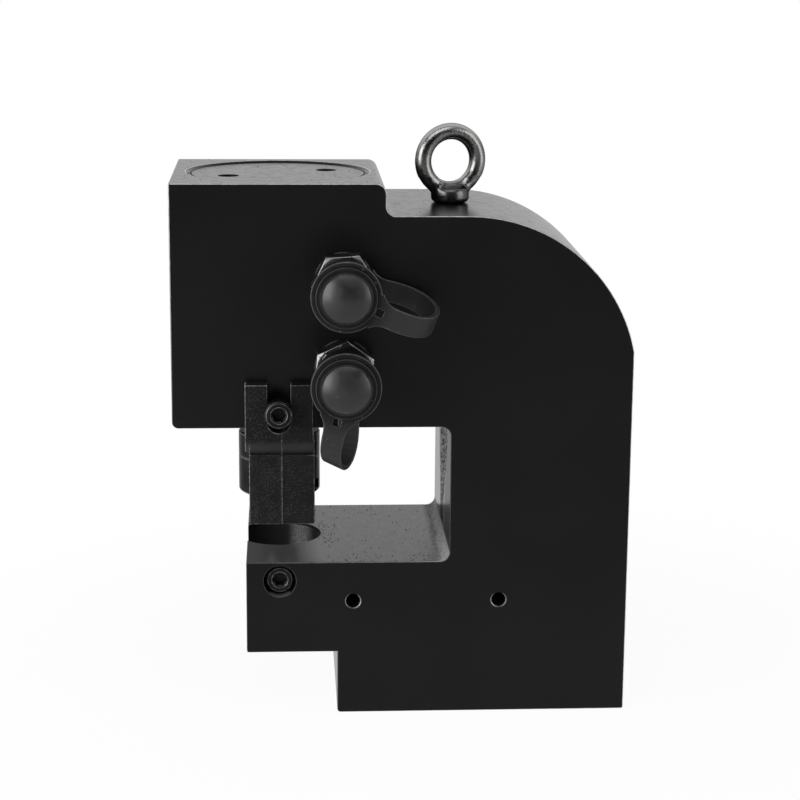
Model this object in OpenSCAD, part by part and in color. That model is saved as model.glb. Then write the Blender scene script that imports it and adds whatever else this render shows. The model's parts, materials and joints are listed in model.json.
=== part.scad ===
// Portable hydraulic hole punch: a C-shaped steel frame with a double-acting ram,
// a sliding stripper, a die pocket, a lifting eye and two capped hose couplers.
// Millimetres, +Z up. The origin is the centre of the foot's underside. The punch
// axis is on the -X side, the throat's back on the +X side, the couplers face -Y.

/* [Frame] */
// Length of the frame from the head's free end to its back
frame_l = 217; // [205:1:240]
// Depth of the frame from front to back
frame_d = 100; // [98:1:120]
// Length of the foot that stands on the bench
foot_l = 139.5; // [125:0.5:150]
// Height of the foot below the jaw
foot_h = 31; // [20:1:45]
// Thickness of the lower jaw
jaw_t = 45; // [40:1:60]
// Reach of the lower jaw past the punch axis
jaw_reach = 16; // [14:0.5:18]
// Height of the open throat
throat_h = 66; // [62:1:80]
// Depth of the throat behind the punch axis
throat_reach = 81; // [75:1:90]
// Length of the square head
head_l = 100; // [98:1:110]
// Height of the head
head_h = 115; // [108:1:130]
// Drop from the head's top to the shoulder
shoulder_drop = 15; // [8:1:20]
// Radius of the round shoulder at the back
shoulder_r = 80.2; // [60:0.1:90]
// How much the frame's back cuts off the round shoulder
shoulder_trim = 1.6; // [0:0.1:10]
// Fillet in the two inner corners of the throat
throat_fillet = 4.5; // [2:0.5:8]
// Fillet between the head and the shoulder
step_fillet = 4.5; // [1:0.5:6]
// Corner radius at the head's upper edge
head_edge_r = 5; // [1:0.5:8]
// Corner radius at the head's lower edge
under_edge_r = 3; // [1:0.5:6]

/* [Cylinder] */
// Bore of the hydraulic cylinder
bore_d = 75; // [66:1:76]
// Thickness of the gland below the cylinder
gland_t = 23; // [22:0.5:30]
// Diameter of the lid's thread
lid_d = 86; // [82:1:88]
// Thickness of the lid's threaded flange
lid_flange_t = 18; // [12:1:24]
// Length of the lid's spigot in the bore
lid_spigot_l = 18; // [12:1:20]
// Depth of the lid's face below the head's top
lid_recess = 0.9; // [0.3:0.1:3]
// Bevel on the lid's rim
lid_edge = 0.5; // [0.3:0.1:2]
// Bevel at the mouth of the lid's bore
lid_mouth_edge = 1.3; // [0.5:0.1:2]
// Diameter of the two pin-spanner holes
spanner_hole_d = 10; // [6:0.5:12]
// Depth of the pin-spanner holes
spanner_hole_depth = 8; // [4:0.5:11]
// Distance between the pin-spanner holes
spanner_pitch = 52; // [40:1:64]
// Turn of the pin-spanner holes about the punch axis
spanner_turn = 26; // [0:1:90]
// Section of the lid's O-ring
lid_ring_s = 3.5; // [2.5:0.1:5]
// Width of the O-ring's groove
lid_groove_w = 4.5; // [4:0.1:6]

/* [Rod seals] */
// Width of the rod seal
rod_seal_w = 6; // [4:0.5:7]
// Radial thickness of the rod seal
rod_seal_t = 5; // [3:0.5:7]
// Width of the rod's guide band
guide_band_w = 5; // [3:0.5:6]
// Radial thickness of the guide band
guide_band_t = 2.5; // [1.5:0.1:4]
// Width of the wiper at the mouth of the gland
rod_wiper_w = 5; // [3:0.5:6]
// Radial thickness of the wiper
rod_wiper_t = 4.5; // [3:0.5:6]
// Wall between one groove and the next
groove_land = 2.5; // [2:0.1:3]

/* [Ram] */
// Diameter of the ram's rod
rod_d = 32; // [28:1:34]
// Travel of the ram below its shown place
ram_out = 12; // [8:0.5:14]
// Travel of the ram above its shown place
ram_back = 8; // [4:0.5:9]
// Length of the piston's full-diameter land
piston_land_l = 18; // [17:0.5:20]
// Diameter of the piston's end bosses
piston_boss_d = 58; // [44:1:60]
// Height of the boss below the piston's land
piston_boss_h = 7.2; // [4:0.1:9]
// Width of the piston seal
piston_seal_w = 6; // [4:0.5:6.5]
// Radial thickness of the piston seal
piston_seal_t = 5; // [3:0.5:6]
// Width of the piston's wear ring
wear_ring_w = 5; // [3:0.5:5.5]
// Radial thickness of the wear ring
wear_ring_t = 2.5; // [1.5:0.1:4]

/* [Punch and nut] */
// Diameter of the punch nut
nut_d = 40; // [38:0.5:42]
// Height of the punch nut
nut_h = 30.4; // [26:0.2:34]
// Height of the nut's underside above the jaw
nut_clear = 23.3; // [20:0.1:26]
// Thickness of the nut's lip below the punch
nut_lip = 9; // [8:0.5:11]
// Bevel on both rims of the nut
nut_edge = 0.8; // [0.4:0.1:1.4]
// Height of the fine groove around the nut above its underside
nut_groove_rise = 18; // [12:0.5:20]
// Width of the fine groove around the nut
nut_groove_w = 0.6; // [0.3:0.1:1.5]
// Diameter of the tommy-bar holes
tommy_d = 5; // [3:0.5:6]
// Depth of the tommy-bar holes
tommy_depth = 6; // [3:0.5:8]
// Height of the tommy-bar holes above the nut's underside
tommy_rise = 4.4; // [4.2:0.1:6]
// Number of tommy-bar holes
tommy_count = 4; // [2:1:6]
// Turn of the tommy-bar holes about the punch axis
tommy_turn = -22; // [-45:1:45]
// Diameter of the punch
punch_d = 18; // [10:0.5:22]
// Diameter of the punch's flange
punch_flange_d = 28; // [25:0.5:30]
// Thickness of the punch's flange
punch_flange_t = 6; // [4:0.5:8]
// Length of the punch below the nut
punch_out = 14; // [10:0.5:16]
// Diameter of the centring point on the punch
punch_point_d = 3; // [2:0.5:5]
// Height of the centring point
punch_point_h = 1.2; // [0.5:0.1:2]
// Width of the centring point's blunt end
punch_point_end = 0.4; // [0.2:0.1:1]

/* [Stripper] */
// Width of the slotted plate
plate_w = 32; // [28:0.5:32.5]
// Thickness of the slotted plate
plate_t = 8; // [6:0.5:10]
// Height of the plate above its screw
plate_rise = 12.8; // [11:0.2:16]
// Width of the plate's open slot
slot_w = 10.5; // [8.5:0.5:12]
// Travel of the stripper above its shown place
stripper_up = 5; // [1:0.5:5]
// Travel of the stripper below its shown place
stripper_down = 10; // [4:0.5:11]
// Width of the block below the plate
block_w = 30.6; // [26:0.2:32]
// Sideways shift of the block against the plate
block_shift = 1.3; // [-2:0.1:2]
// How far the block stands in front of the plate
block_out = 5.5; // [3:0.5:8]
// Reach of the block under the head
block_in = 34; // [30.5:0.5:38]
// Distance from the head's underside down to the block's front edge
block_drop = 9.6; // [8:0.2:14]
// Height of the stripper's underside above the jaw
stripper_clear = 23; // [18:0.5:26]
// Gap between the block's hollow back and the punch nut
nut_gap = 0.4; // [0.3:0.1:1]
// Height of the casting's parting ridge
ridge_h = 0.5; // [0.2:0.1:1]

/* [Socket screws] */
// Diameter of the screws' thread
screw_d = 8; // [6:0.5:8]
// Diameter of the screws' heads
screw_head_d = 13; // [12.4:0.1:14]
// Height of the screws' heads
screw_head_h = 8; // [6:0.5:9]
// Width of the hexagon sockets
screw_key = 6; // [4:0.5:7]
// Depth of the hexagon sockets
screw_key_depth = 4.5; // [3:0.5:5]
// Widening of the sockets at their mouths
screw_key_mouth = 0.9; // [0.4:0.1:1.2]
// Bevel on the rim of the screws' heads
screw_edge = 0.7; // [0.3:0.1:1.2]
// Height of the stripper's screw above the head's underside
stripper_screw_rise = 9.7; // [8:0.1:11]
// Thread of the stripper's screw in the head
stripper_screw_grip = 13; // [10:0.5:16]
// Distance of the die's lock screw below the jaw's top
lock_drop = 9.4; // [9:0.2:12]
// Diameter of the lock screw's counterbore
lock_bore_d = 15.5; // [14.6:0.1:17]
// Depth of the lock screw's counterbore
lock_bore_depth = 15; // [12:0.5:17]
// Depth of the lock screw's head in the counterbore
lock_recess = 2.4; // [1:0.1:4]
// Distance of the lock screw's tip from the die pocket
lock_tip_gap = 0.6; // [0.3:0.1:2]

/* [Jaw] */
// Diameter of the die pocket
die_d = 41; // [38:0.5:41.5]
// Depth of the die pocket
die_depth = 25; // [20:0.5:30]
// Diameter of the slug hole below the pocket
slug_d = 26; // [20:0.5:27]
// Diameter of the two tapped holes in the front
side_hole_d = 6.8; // [6:0.1:12]
// Depth of the tapped holes
side_hole_depth = 18; // [10:1:24]
// Distance between the tapped holes
side_hole_pitch = 70; // [50:1:78]
// Distance of the first tapped hole behind the punch axis
side_hole_first = 35; // [32:0.5:40]
// Distance of the tapped holes below the jaw's top
side_hole_drop = 19.5; // [12:0.5:28]

/* [Lifting eye] */
// Distance of the eye behind the punch axis
eye_offset = 83; // [70:1:90]
// Outer diameter of the eye's ring
eye_od = 36; // [32:0.5:44]
// Inner diameter of the eye's ring
eye_hole_d = 20; // [16:0.5:22]
// Height of the ring's centre above the shoulder
eye_rise = 20.2; // [20:0.1:24]
// Turn of the ring about its thread
eye_turn = 17; // [0:1:90]
// Diameter of the eye's collar
eye_collar_d = 18.5; // [16:0.5:22]
// Height of the eye's collar
eye_collar_h = 8; // [5:0.5:8.5]
// Rounding of the collar's rim
eye_collar_round = 2.4; // [1:0.1:2.4]
// Diameter of the eye's thread
eye_thread_d = 8; // [6:0.5:12]
// Length of the eye's thread
eye_thread_l = 13; // [8:1:20]

/* [Couplers] */
// Distance of the couplers behind the punch axis
port_offset = 30.2; // [30:0.1:31]
// Height of the lower port above the cylinder's floor
lower_port_rise = 6.2; // [5:0.1:8]
// Distance of the upper port below the lid's spigot
upper_port_drop = 7.8; // [5:0.1:9]
// Diameter of the oil ways
oil_way_d = 6; // [4:0.5:7]
// Diameter of the couplers' thread
port_thread_d = 16.6; // [15.6:0.1:17]
// Length of the couplers' thread
port_thread_l = 14; // [10:0.5:18]
// Diameter of the neck behind the hexagon
neck_d = 18; // [17.4:0.1:19]
// Length of the neck
neck_l = 3.2; // [3:0.1:5]
// Width of the hexagon across its flats
hex_af = 26.4; // [25:0.2:27]
// Length of the hexagon
hex_l = 12; // [8:0.5:15]
// Bevel at the corners of the hexagon
hex_edge = 1.2; // [0.6:0.1:2]
// Turn of the upper coupler's hexagon
upper_hex_turn = 4; // [0:1:60]
// Turn of the lower coupler's hexagon
lower_hex_turn = 25; // [0:1:60]
// Diameter of the collar in front of the hexagon
collar_d = 23; // [21:0.5:25]
// Length of the collar
collar_l = 5.8; // [4:0.2:8]
// Bevel on the rim of the nose
nose_edge = 0.7; // [0.3:0.1:1]
// Diameter of the coupler's nose
nose_d = 19.6; // [18.6:0.2:20.4]
// Length of the nose
nose_l = 22; // [20:0.5:26]
// Depth of the ball groove in the nose
ball_groove_depth = 1.4; // [0.8:0.1:1.6]
// Width of the ball groove's floor
ball_groove_w = 4; // [3:0.5:6]
// Distance of the ball groove from the collar
ball_groove_at = 5; // [4:0.5:7]
// Bore of the valve's chamber
valve_d = 12.2; // [11:0.1:12.6]
// Bore of the coupler's mouth
mouth_d = 8; // [6.5:0.1:8.6]
// Length of the mouth in front of the valve seat
mouth_l = 6; // [4:0.5:8]
// Travel of the poppet
poppet_travel = 3; // [1:0.5:4]
// Length of the poppet's guide
poppet_guide_l = 5; // [3:0.5:7]
// Distance of the valve's retainer from the seat
retainer_back = 22; // [19:0.5:26]
// Thickness of the valve's retainer
retainer_t = 2.4; // [1.5:0.1:4]
// Wire of the poppet's spring
spring_wire = 1.2; // [0.8:0.1:1.4]
// Curls of the poppet's spring
spring_curls = 5; // [3:1:6]

/* [Dust caps] */
// Outer diameter of the cap's skirt
cap_skirt_d = 26.4; // [25.6:0.2:28]
// Diameter of the cap's front flange
cap_flange_d = 27.4; // [26.6:0.2:30]
// Thickness of the front flange
cap_flange_t = 2; // [1:0.1:3]
// Diameter of the cap's raised boss
cap_boss_d = 24.2; // [24:0.1:25]
// Height of the raised boss
cap_boss_h = 1.7; // [1:0.1:3]
// Slope of the raised boss from its foot to its top
cap_boss_slope = 0.7; // [0.2:0.1:0.8]
// Diameter of the cap's dome
cap_dome_d = 21.8; // [18:0.2:22]
// Height of the dome
cap_dome_h = 3; // [1:0.2:5]
// Width of the groove between the dome and the boss
cap_rim_gap = 0.3; // [0.2:0.1:0.4]
// Depth of the groove between the dome and the boss
cap_rim_depth = 0.4; // [0.2:0.1:1]
// Diameter of the groove for the strap's ring
cap_groove_d = 24.4; // [24:0.1:25.4]
// Travel with which a cap pulls off its coupler
cap_pull = 26; // [24:1:30]

/* [Cap straps] */
// Thickness of a strap's two rings
ring_t = 2.4; // [1.6:0.1:2.6]
// Outer diameter of the ring behind the hexagon
rear_ring_d = 27.2; // [25:0.2:28]
// Outer diameter of the ring on the cap
front_ring_d = 32; // [29:0.5:33]
// Width of the strap
strap_w = 10; // [7:0.5:12]
// Thickness of the strap
strap_t = 2.2; // [1.4:0.1:2.4]
// Widening of the strap where it meets a ring
strap_flare = 7; // [2:0.5:9]
// Length over which the strap widens
strap_flare_l = 7; // [4:0.5:10]
// Side of the small window in the strap's root
strap_window = 3.4; // [2:0.1:4.5]
// Reach of the window into the cap's ring
strap_window_in = 1.5; // [0.5:0.1:2.5]
// Reach of the upper strap from its coupler's axis
upper_reach = 43; // [38:0.5:48]
// Direction in which the upper strap leaves its rear ring
upper_rear_turn = -13; // [-30:1:10]
// Direction in which the upper strap meets its cap
upper_front_turn = -26; // [-40:1:10]
// Slant of the upper strap's fold
upper_skew = 0; // [-0.5:0.05:0.5]
// Reach of the lower strap from its coupler's axis
lower_reach = 40; // [38:0.5:44]
// Direction in which the lower strap leaves its rear ring
lower_rear_turn = -84; // [-100:1:-70]
// Direction in which the lower strap meets its cap
lower_front_turn = -105; // [-110:1:-80]
// Slant of the lower strap's fold
lower_skew = 0.35; // [-0.5:0.05:0.5]

/* [Clearances] */
// Running clearance of sliding rods and seals, on the radius
run_gap = 0.05; // [0.02:0.01:0.1]
// Clearance of a thread in its hole, on the radius
thread_gap = 0.05; // [0.02:0.01:0.1]
// Gap between flat faces that slide on each other
slide_gap = 0.05; // [0.02:0.01:0.1]
// Gap around soft pieces
soft_gap = 0.15; // [0.1:0.05:0.3]
// Gap at the ends of a stroke
stop_gap = 0.3; // [0.3:0.1:1]
// Gap between a cap and the coupler's nose
cap_gap = 0.3; // [0.3:0.1:0.6]

/* [Hidden] */
$fn = 96;
// Length by which a shape runs past a face that it cuts, or into one that it joins
over = 1;

// Levels of the frame
z_jaw = foot_h + jaw_t;
z_under = z_jaw + throat_h;
z_top = z_under + head_h;
z_shoulder = z_top - shoulder_drop;
x_back = foot_l / 2;
x_shoulder = x_back + shoulder_trim - shoulder_r;
x_head = x_back - frame_l;
x_step = x_head + head_l;
x_ram = x_head + head_l / 2;
x_jaw = x_ram - jaw_reach;
x_throat = x_ram + throat_reach;
y_front = -frame_d / 2;

// Levels of the cylinder
z_floor = z_under + gland_t;
z_lid = z_top - lid_recess;
z_lid_seat = z_lid - lid_flange_t;
z_ceiling = z_lid_seat - lid_spigot_l;
z_lid_ring = z_ceiling + lid_spigot_l / 2;
z_lower_port = z_floor + lower_port_rise;
z_upper_port = z_ceiling - upper_port_drop;
bore_r = bore_d / 2;
lid_bore_r = lid_d / 2 + thread_gap;
rod_r = rod_d / 2;
groove_side_gap = soft_gap;

// Grooves of the gland, from its mouth upwards
z_wiper = z_under;
z_rod_seal = z_wiper + rod_wiper_w + groove_land;
z_guide_band = z_rod_seal + rod_seal_w + groove_land;

// Levels of the ram at the shown place
z_boss = z_floor + ram_out + stop_gap;
z_land = z_boss + piston_boss_h;
z_land_top = z_land + piston_land_l;
z_piston_top = z_ceiling - ram_back - stop_gap;
ring_land = (piston_land_l - piston_seal_w - wear_ring_w) / 3;
z_wear_ring = z_land + ring_land;
z_piston_seal = z_wear_ring + wear_ring_w + ring_land;
z_nut = z_jaw + nut_clear;
z_lip = z_nut + nut_lip;
z_rod_end = z_lip + punch_flange_t;
z_punch_tip = z_nut - punch_out;

// Levels of the stripper
z_strip_screw = z_under + stripper_screw_rise;
z_plate_top = z_strip_screw + plate_rise;
z_block_edge = z_under - block_drop;
z_strip = z_jaw + stripper_clear;
z_block_top = z_under - stripper_up - 2 * stop_gap;
y_plate = y_front - slide_gap - plate_t;
y_block = y_plate - block_out;

// Lock screw along Y
z_lock = z_jaw - lock_drop;
y_lock_head = y_front + lock_recess;
y_lock_tip = -die_d / 2 - lock_tip_gap;

// Places along a coupler, from the frame's front face outwards
s_hex = neck_l;
s_collar = s_hex + hex_l;
s_nose = s_collar + collar_l;
s_tip = s_nose + nose_l;
s_seat = s_tip - mouth_l;
seat_l = (valve_d - mouth_d) / 2;
s_chamber = s_seat - seat_l;
s_retainer = s_chamber - retainer_back;
s_poppet_back = s_chamber - poppet_guide_l;
poppet_r = valve_d / 2 - cap_gap;
stem_r = mouth_d / 2 - cap_gap;
spring_r = (valve_d - spring_wire) / 2 - cap_gap;

// Places along a dust cap
s_skirt = s_nose + cap_gap;
s_cap_floor = s_tip + cap_gap;
s_groove = s_cap_floor + cap_gap;
s_flange = s_groove + ring_t + 2 * soft_gap;
s_boss = s_flange + cap_flange_t;
s_dome = s_boss + cap_boss_h;
dome_r = (pow(cap_dome_d / 2, 2) + pow(cap_dome_h, 2)) / (2 * cap_dome_h);
s_rear_ring = neck_l / 2;
s_front_ring = s_groove + soft_gap + ring_t / 2;

// Forms that are swept along a path: rings of points joined by triangles
function ring_face(k, i, n) = k * n + i % n;
function sweep_faces(rings, n) = concat(
    [for (i = [1 : n - 2]) [0, i, i + 1]],
    [for (k = [0 : rings - 2], i = [0 : n - 1])
        [ring_face(k, i, n), ring_face(k + 1, i, n), ring_face(k + 1, i + 1, n)]],
    [for (k = [0 : rings - 2], i = [0 : n - 1])
        [ring_face(k, i, n), ring_face(k + 1, i + 1, n), ring_face(k, i + 1, n)]],
    [for (i = [1 : n - 2]) [(rings - 1) * n, (rings - 1) * n + i + 1, (rings - 1) * n + i]]
);
function unit(v) = v / norm(v);
function smooth(t) = t * t * (3 - 2 * t);
function clamp01(t) = min(1, max(0, t));

// The spring's wire climbs along a coupler from the retainer to the poppet
spring_rings_per_curl = 8;
spring_sides = 6;
spring_rings = spring_curls * spring_rings_per_curl + 1;
s_spring_low = s_retainer + spring_wire / 2 + slide_gap;
s_spring_high = s_poppet_back - spring_wire / 2 - slide_gap;
spring_rise = (s_spring_high - s_spring_low) / spring_curls;
function spring_angle(k) = 360 * k / spring_rings_per_curl;
function spring_centre(k) = [
    spring_r * cos(spring_angle(k)),
    spring_r * sin(spring_angle(k)),
    s_spring_low + spring_rise * k / spring_rings_per_curl
];
function spring_out(k) = [cos(spring_angle(k)), sin(spring_angle(k)), 0];
function spring_up(k) = unit(cross(spring_out(k),
    [-sin(spring_angle(k)), cos(spring_angle(k)), spring_rise / (2 * PI * spring_r)]));
spring_points = [
    for (k = [0 : spring_rings - 1], i = [0 : spring_sides - 1])
        spring_centre(k)
            + spring_wire / 2 * cos(360 * i / spring_sides) * spring_out(k)
            + spring_wire / 2 * sin(360 * i / spring_sides) * spring_up(k)
];
spring_gap = min([
    for (a = [0 : spring_rings - 1], b = [0 : spring_rings - 1])
        if (b - a >= spring_rings_per_curl / 2)
            norm(spring_centre(a) - spring_centre(b)) - spring_wire
]);
echo(least_gap_of_the_spring_to_itself = spring_gap);

// A strap runs out from its rear ring, bends forward and comes back to its front ring
strap_bend_r = (s_front_ring - s_rear_ring) / 2;
s_strap_middle = (s_front_ring + s_rear_ring) / 2;
strap_bend_steps = 18;
strap_leg_steps = 4;
// Depth to which a strap's root runs into its ring
strap_root = 1.6;
function strap_bend_u(reach) = reach - strap_bend_r;
function strap_leg_u(reach, ring_d, k) =
    ring_d / 2 - strap_root + (strap_bend_u(reach) - ring_d / 2 + strap_root) * k / strap_leg_steps;
// Each stop of the strap: distance from the axis, bend angle
function strap_stops(reach) = concat(
    [for (k = [0 : strap_leg_steps - 1]) [strap_leg_u(reach, rear_ring_d, k), -90]],
    [for (k = [0 : strap_bend_steps])
        [strap_bend_u(reach) + strap_bend_r * cos(-90 + 180 * k / strap_bend_steps),
         -90 + 180 * k / strap_bend_steps]],
    [for (k = [strap_leg_steps - 1 : -1 : 0]) [strap_leg_u(reach, front_ring_d, k), 90]]
);
function strap_width(u, bend) =
    let (ring_r = (bend < 0 ? rear_ring_d : front_ring_d) / 2)
    strap_w + strap_flare * pow(1 - clamp01((u - ring_r + strap_root) / strap_flare_l), 2);
function strap_corner(stop, turn, skew, side, face) =
    let (
        half = side * strap_width(stop[0], stop[1]) / 2,
        u = stop[0] + skew * half * cos(stop[1]),
        out = [cos(turn), sin(turn), 0],
        across = [-sin(turn), cos(turn), 0],
        away = cos(stop[1]) * out + [0, 0, sin(stop[1])]
    )
    u * out + half * across + [0, 0, s_strap_middle + strap_bend_r * sin(stop[1])]
        + face * strap_t / 2 * away;
function strap_points(reach, rear_turn, front_turn, skew) = [
    for (stop = strap_stops(reach), corner = [[1, 1], [1, -1], [-1, -1], [-1, 1]])
        strap_corner(stop,
            rear_turn + (front_turn - rear_turn) * smooth((stop[1] + 90) / 180),
            skew, corner[0], corner[1])
];

// Fills an inner corner at the origin that opens towards +X and +Y
module corner_fill(r) {
    difference() {
        square(r);
        translate([r, r]) circle(r);
    }
}

// Removes an outer corner at the origin of a shape that lies towards +X and +Y
module corner_cut(r) {
    difference() {
        translate([-over, -over]) square(r + over);
        translate([r, r]) circle(r);
    }
}

// Side outline of the frame, seen from the front
module frame_outline() {
    difference() {
        union() {
            translate([x_head, z_under]) square([head_l, head_h]);
            translate([x_step - over, z_under])
                square([x_back - x_step + over, z_shoulder - z_under]);
            translate([x_throat, 0]) square([x_back - x_throat, z_shoulder]);
            translate([-x_back, 0]) square([foot_l, z_jaw]);
            translate([x_jaw, foot_h]) square([x_back - x_jaw, jaw_t]);
        }
        translate([x_head, z_under]) corner_cut(under_edge_r);
        translate([x_step, z_top]) rotate(180) corner_cut(head_edge_r);
        shoulder_cut();
    }
    translate([x_step, z_shoulder]) corner_fill(step_fillet);
    translate([x_throat, z_jaw]) rotate(90) corner_fill(throat_fillet);
    translate([x_throat, z_under]) rotate(180) corner_fill(throat_fillet);
}

// What the round shoulder takes off the frame's upper back corner
module shoulder_cut() {
    difference() {
        translate([x_shoulder, z_shoulder - shoulder_r]) square(shoulder_r + over);
        translate([x_shoulder, z_shoulder - shoulder_r]) circle(shoulder_r);
    }
}

// A ring around the Z axis
module ring(inner_r, outer_r, h) {
    rotate_extrude() translate([inner_r, 0]) square([outer_r - inner_r, h]);
}

// Places children on the punch axis
module at_ram(z) {
    translate([x_ram, 0, z]) children();
}

// Places children on a coupler's axis: their +Z points out of the frame, their +Y up
module at_port(z) {
    translate([x_ram + port_offset, y_front, z]) rotate([90, 0, 0]) children();
}

// A hole into the frame's front face
module front_hole(x, z, d, depth) {
    translate([x, y_front - over, z]) rotate([-90, 0, 0]) cylinder(d = d, h = depth + over);
}

module gland_cuts() {
    at_ram(z_under - over) cylinder(r = rod_r + run_gap, h = gland_t + 2 * over);
    at_ram(z_wiper - over)
        cylinder(r = rod_r + rod_wiper_t + soft_gap, h = rod_wiper_w + groove_side_gap + over);
    at_ram(z_rod_seal - groove_side_gap)
        cylinder(r = rod_r + rod_seal_t + soft_gap, h = rod_seal_w + 2 * groove_side_gap);
    at_ram(z_guide_band - groove_side_gap)
        cylinder(r = rod_r + guide_band_t + soft_gap, h = guide_band_w + 2 * groove_side_gap);
}

module port_cuts(z) {
    front_hole(x_ram + port_offset, z, port_thread_d + 2 * thread_gap, port_thread_l + over);
    front_hole(x_ram + port_offset, z, oil_way_d, frame_d / 2 - over);
}

module jaw_cuts() {
    at_ram(z_jaw - die_depth) cylinder(d = die_d, h = die_depth + over);
    at_ram(foot_h - over) cylinder(d = slug_d, h = jaw_t);
    front_hole(x_ram, z_lock, lock_bore_d, lock_bore_depth);
    front_hole(x_ram, z_lock, screw_d + 2 * thread_gap, frame_d / 2);
    for (k = [0, 1])
        front_hole(x_ram + side_hole_first + k * side_hole_pitch, z_jaw - side_hole_drop,
            side_hole_d, side_hole_depth);
}

module frame() {
    color([0.11, 0.11, 0.11])
    difference() {
        rotate([90, 0, 0]) linear_extrude(height = frame_d, center = true) frame_outline();
        at_ram(z_floor) cylinder(r = bore_r, h = head_h);
        at_ram(z_lid_seat) cylinder(r = lid_bore_r, h = head_h);
        at_ram(z_top - lid_mouth_edge)
            cylinder(r1 = lid_bore_r, r2 = lid_bore_r + lid_mouth_edge + over, h = lid_mouth_edge + over);
        gland_cuts();
        port_cuts(z_lower_port);
        port_cuts(z_upper_port);
        jaw_cuts();
        front_hole(x_ram, z_strip_screw, screw_d + 2 * thread_gap, stripper_screw_grip + over);
        translate([x_ram + eye_offset, 0, z_shoulder - eye_thread_l - over])
            cylinder(d = eye_thread_d + 2 * thread_gap, h = eye_thread_l + 2 * over);
    }
}

module cylinder_lid() {
    color([0.16, 0.16, 0.16])
    difference() {
        at_ram(z_ceiling) rotate_extrude() polygon([
            [0, 0],
            [bore_r - run_gap, 0],
            [bore_r - run_gap, lid_spigot_l],
            [lid_d / 2, lid_spigot_l],
            [lid_d / 2, z_lid - z_ceiling - lid_edge],
            [lid_d / 2 - lid_edge, z_lid - z_ceiling],
            [0, z_lid - z_ceiling]
        ]);
        at_ram(z_lid_ring - lid_groove_w / 2)
            ring(bore_r - lid_ring_s - 2 * soft_gap, bore_r + over, lid_groove_w);
        for (side = [0, 180])
            at_ram(z_lid - spanner_hole_depth)
                rotate(spanner_turn + side) translate([spanner_pitch / 2, 0])
                    cylinder(d = spanner_hole_d, h = spanner_hole_depth + over);
    }
}

module lid_o_ring() {
    color([0.08, 0.08, 0.08])
    at_ram(z_lid_ring)
        rotate_extrude() translate([bore_r - lid_ring_s / 2 - soft_gap, 0]) circle(d = lid_ring_s);
}

module rod_seal() {
    color([0.15, 0.3, 0.45])
    at_ram(z_rod_seal) ring(rod_r + run_gap, rod_r + rod_seal_t, rod_seal_w);
}

module rod_guide_band() {
    color([0.45, 0.3, 0.15])
    at_ram(z_guide_band) ring(rod_r + run_gap, rod_r + guide_band_t, guide_band_w);
}

module rod_wiper() {
    color([0.1, 0.1, 0.1])
    at_ram(z_wiper) ring(rod_r + run_gap, rod_r + rod_wiper_t, rod_wiper_w);
}

module ram() {
    color([0.62, 0.62, 0.6])
    difference() {
        union() {
            at_ram(z_rod_end) cylinder(r = rod_r, h = z_land - z_rod_end);
            at_ram(z_boss) cylinder(d = piston_boss_d, h = piston_boss_h);
            at_ram(z_land) cylinder(r = bore_r - run_gap, h = piston_land_l);
            at_ram(z_land_top) cylinder(d = piston_boss_d, h = z_piston_top - z_land_top);
        }
        at_ram(z_wear_ring)
            ring(bore_r - run_gap - wear_ring_t - soft_gap, bore_r + over, wear_ring_w);
        at_ram(z_piston_seal)
            ring(bore_r - run_gap - piston_seal_t - soft_gap, bore_r + over, piston_seal_w);
    }
}

module piston_seal() {
    color([0.15, 0.3, 0.45])
    at_ram(z_piston_seal + groove_side_gap)
        ring(bore_r - run_gap - piston_seal_t, bore_r - run_gap, piston_seal_w - 2 * groove_side_gap);
}

module piston_wear_ring() {
    color([0.45, 0.3, 0.15])
    at_ram(z_wear_ring + groove_side_gap)
        ring(bore_r - run_gap - wear_ring_t, bore_r - run_gap, wear_ring_w - 2 * groove_side_gap);
}

module punch_nut() {
    color([0.5, 0.5, 0.48])
    difference() {
        at_ram(z_nut) rotate_extrude() polygon([
            [punch_d / 2 + thread_gap, 0],
            [nut_d / 2 - nut_edge, 0],
            [nut_d / 2, nut_edge],
            [nut_d / 2, nut_groove_rise - nut_groove_w / 2],
            [(nut_d - nut_groove_w) / 2, nut_groove_rise],
            [nut_d / 2, nut_groove_rise + nut_groove_w / 2],
            [nut_d / 2, nut_h - nut_edge],
            [nut_d / 2 - nut_edge, nut_h],
            [rod_r + thread_gap, nut_h],
            [rod_r + thread_gap, nut_lip],
            [punch_d / 2 + thread_gap, nut_lip]
        ]);
        for (k = [1 : tommy_count])
            at_ram(z_nut + tommy_rise) rotate(tommy_turn + 360 * k / tommy_count)
                translate([nut_d / 2 - tommy_depth, 0]) rotate([0, 90, 0])
                    cylinder(d = tommy_d, h = tommy_depth + over, $fn = 48);
    }
}

module punch() {
    color([0.7, 0.7, 0.68])
    union() {
        at_ram(z_lip) cylinder(d = punch_flange_d, h = punch_flange_t);
        at_ram(z_punch_tip) cylinder(d = punch_d, h = z_lip - z_punch_tip + over);
        at_ram(z_punch_tip - punch_point_h)
            cylinder(d1 = punch_point_end, d2 = punch_point_d, h = punch_point_h);
    }
}

// Side outline of the stripper's block: X is the frame's Y, Y is the frame's Z
module block_outline() {
    translate([y_block, z_strip])
        square([y_front + block_in - y_block, z_block_edge - z_strip]);
    translate([y_plate, z_block_edge - over]) square([plate_t, block_out + over]);
    translate([y_plate + over, z_strip])
        square([y_front + block_in - y_plate - over, z_block_top - z_strip]);
    translate([y_plate, z_block_edge]) rotate(90) corner_fill(block_out);
}

module along_x(w, shift = 0) {
    translate([x_ram + shift - w / 2, 0, 0]) rotate([90, 0, 90]) linear_extrude(height = w) children();
}

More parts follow.
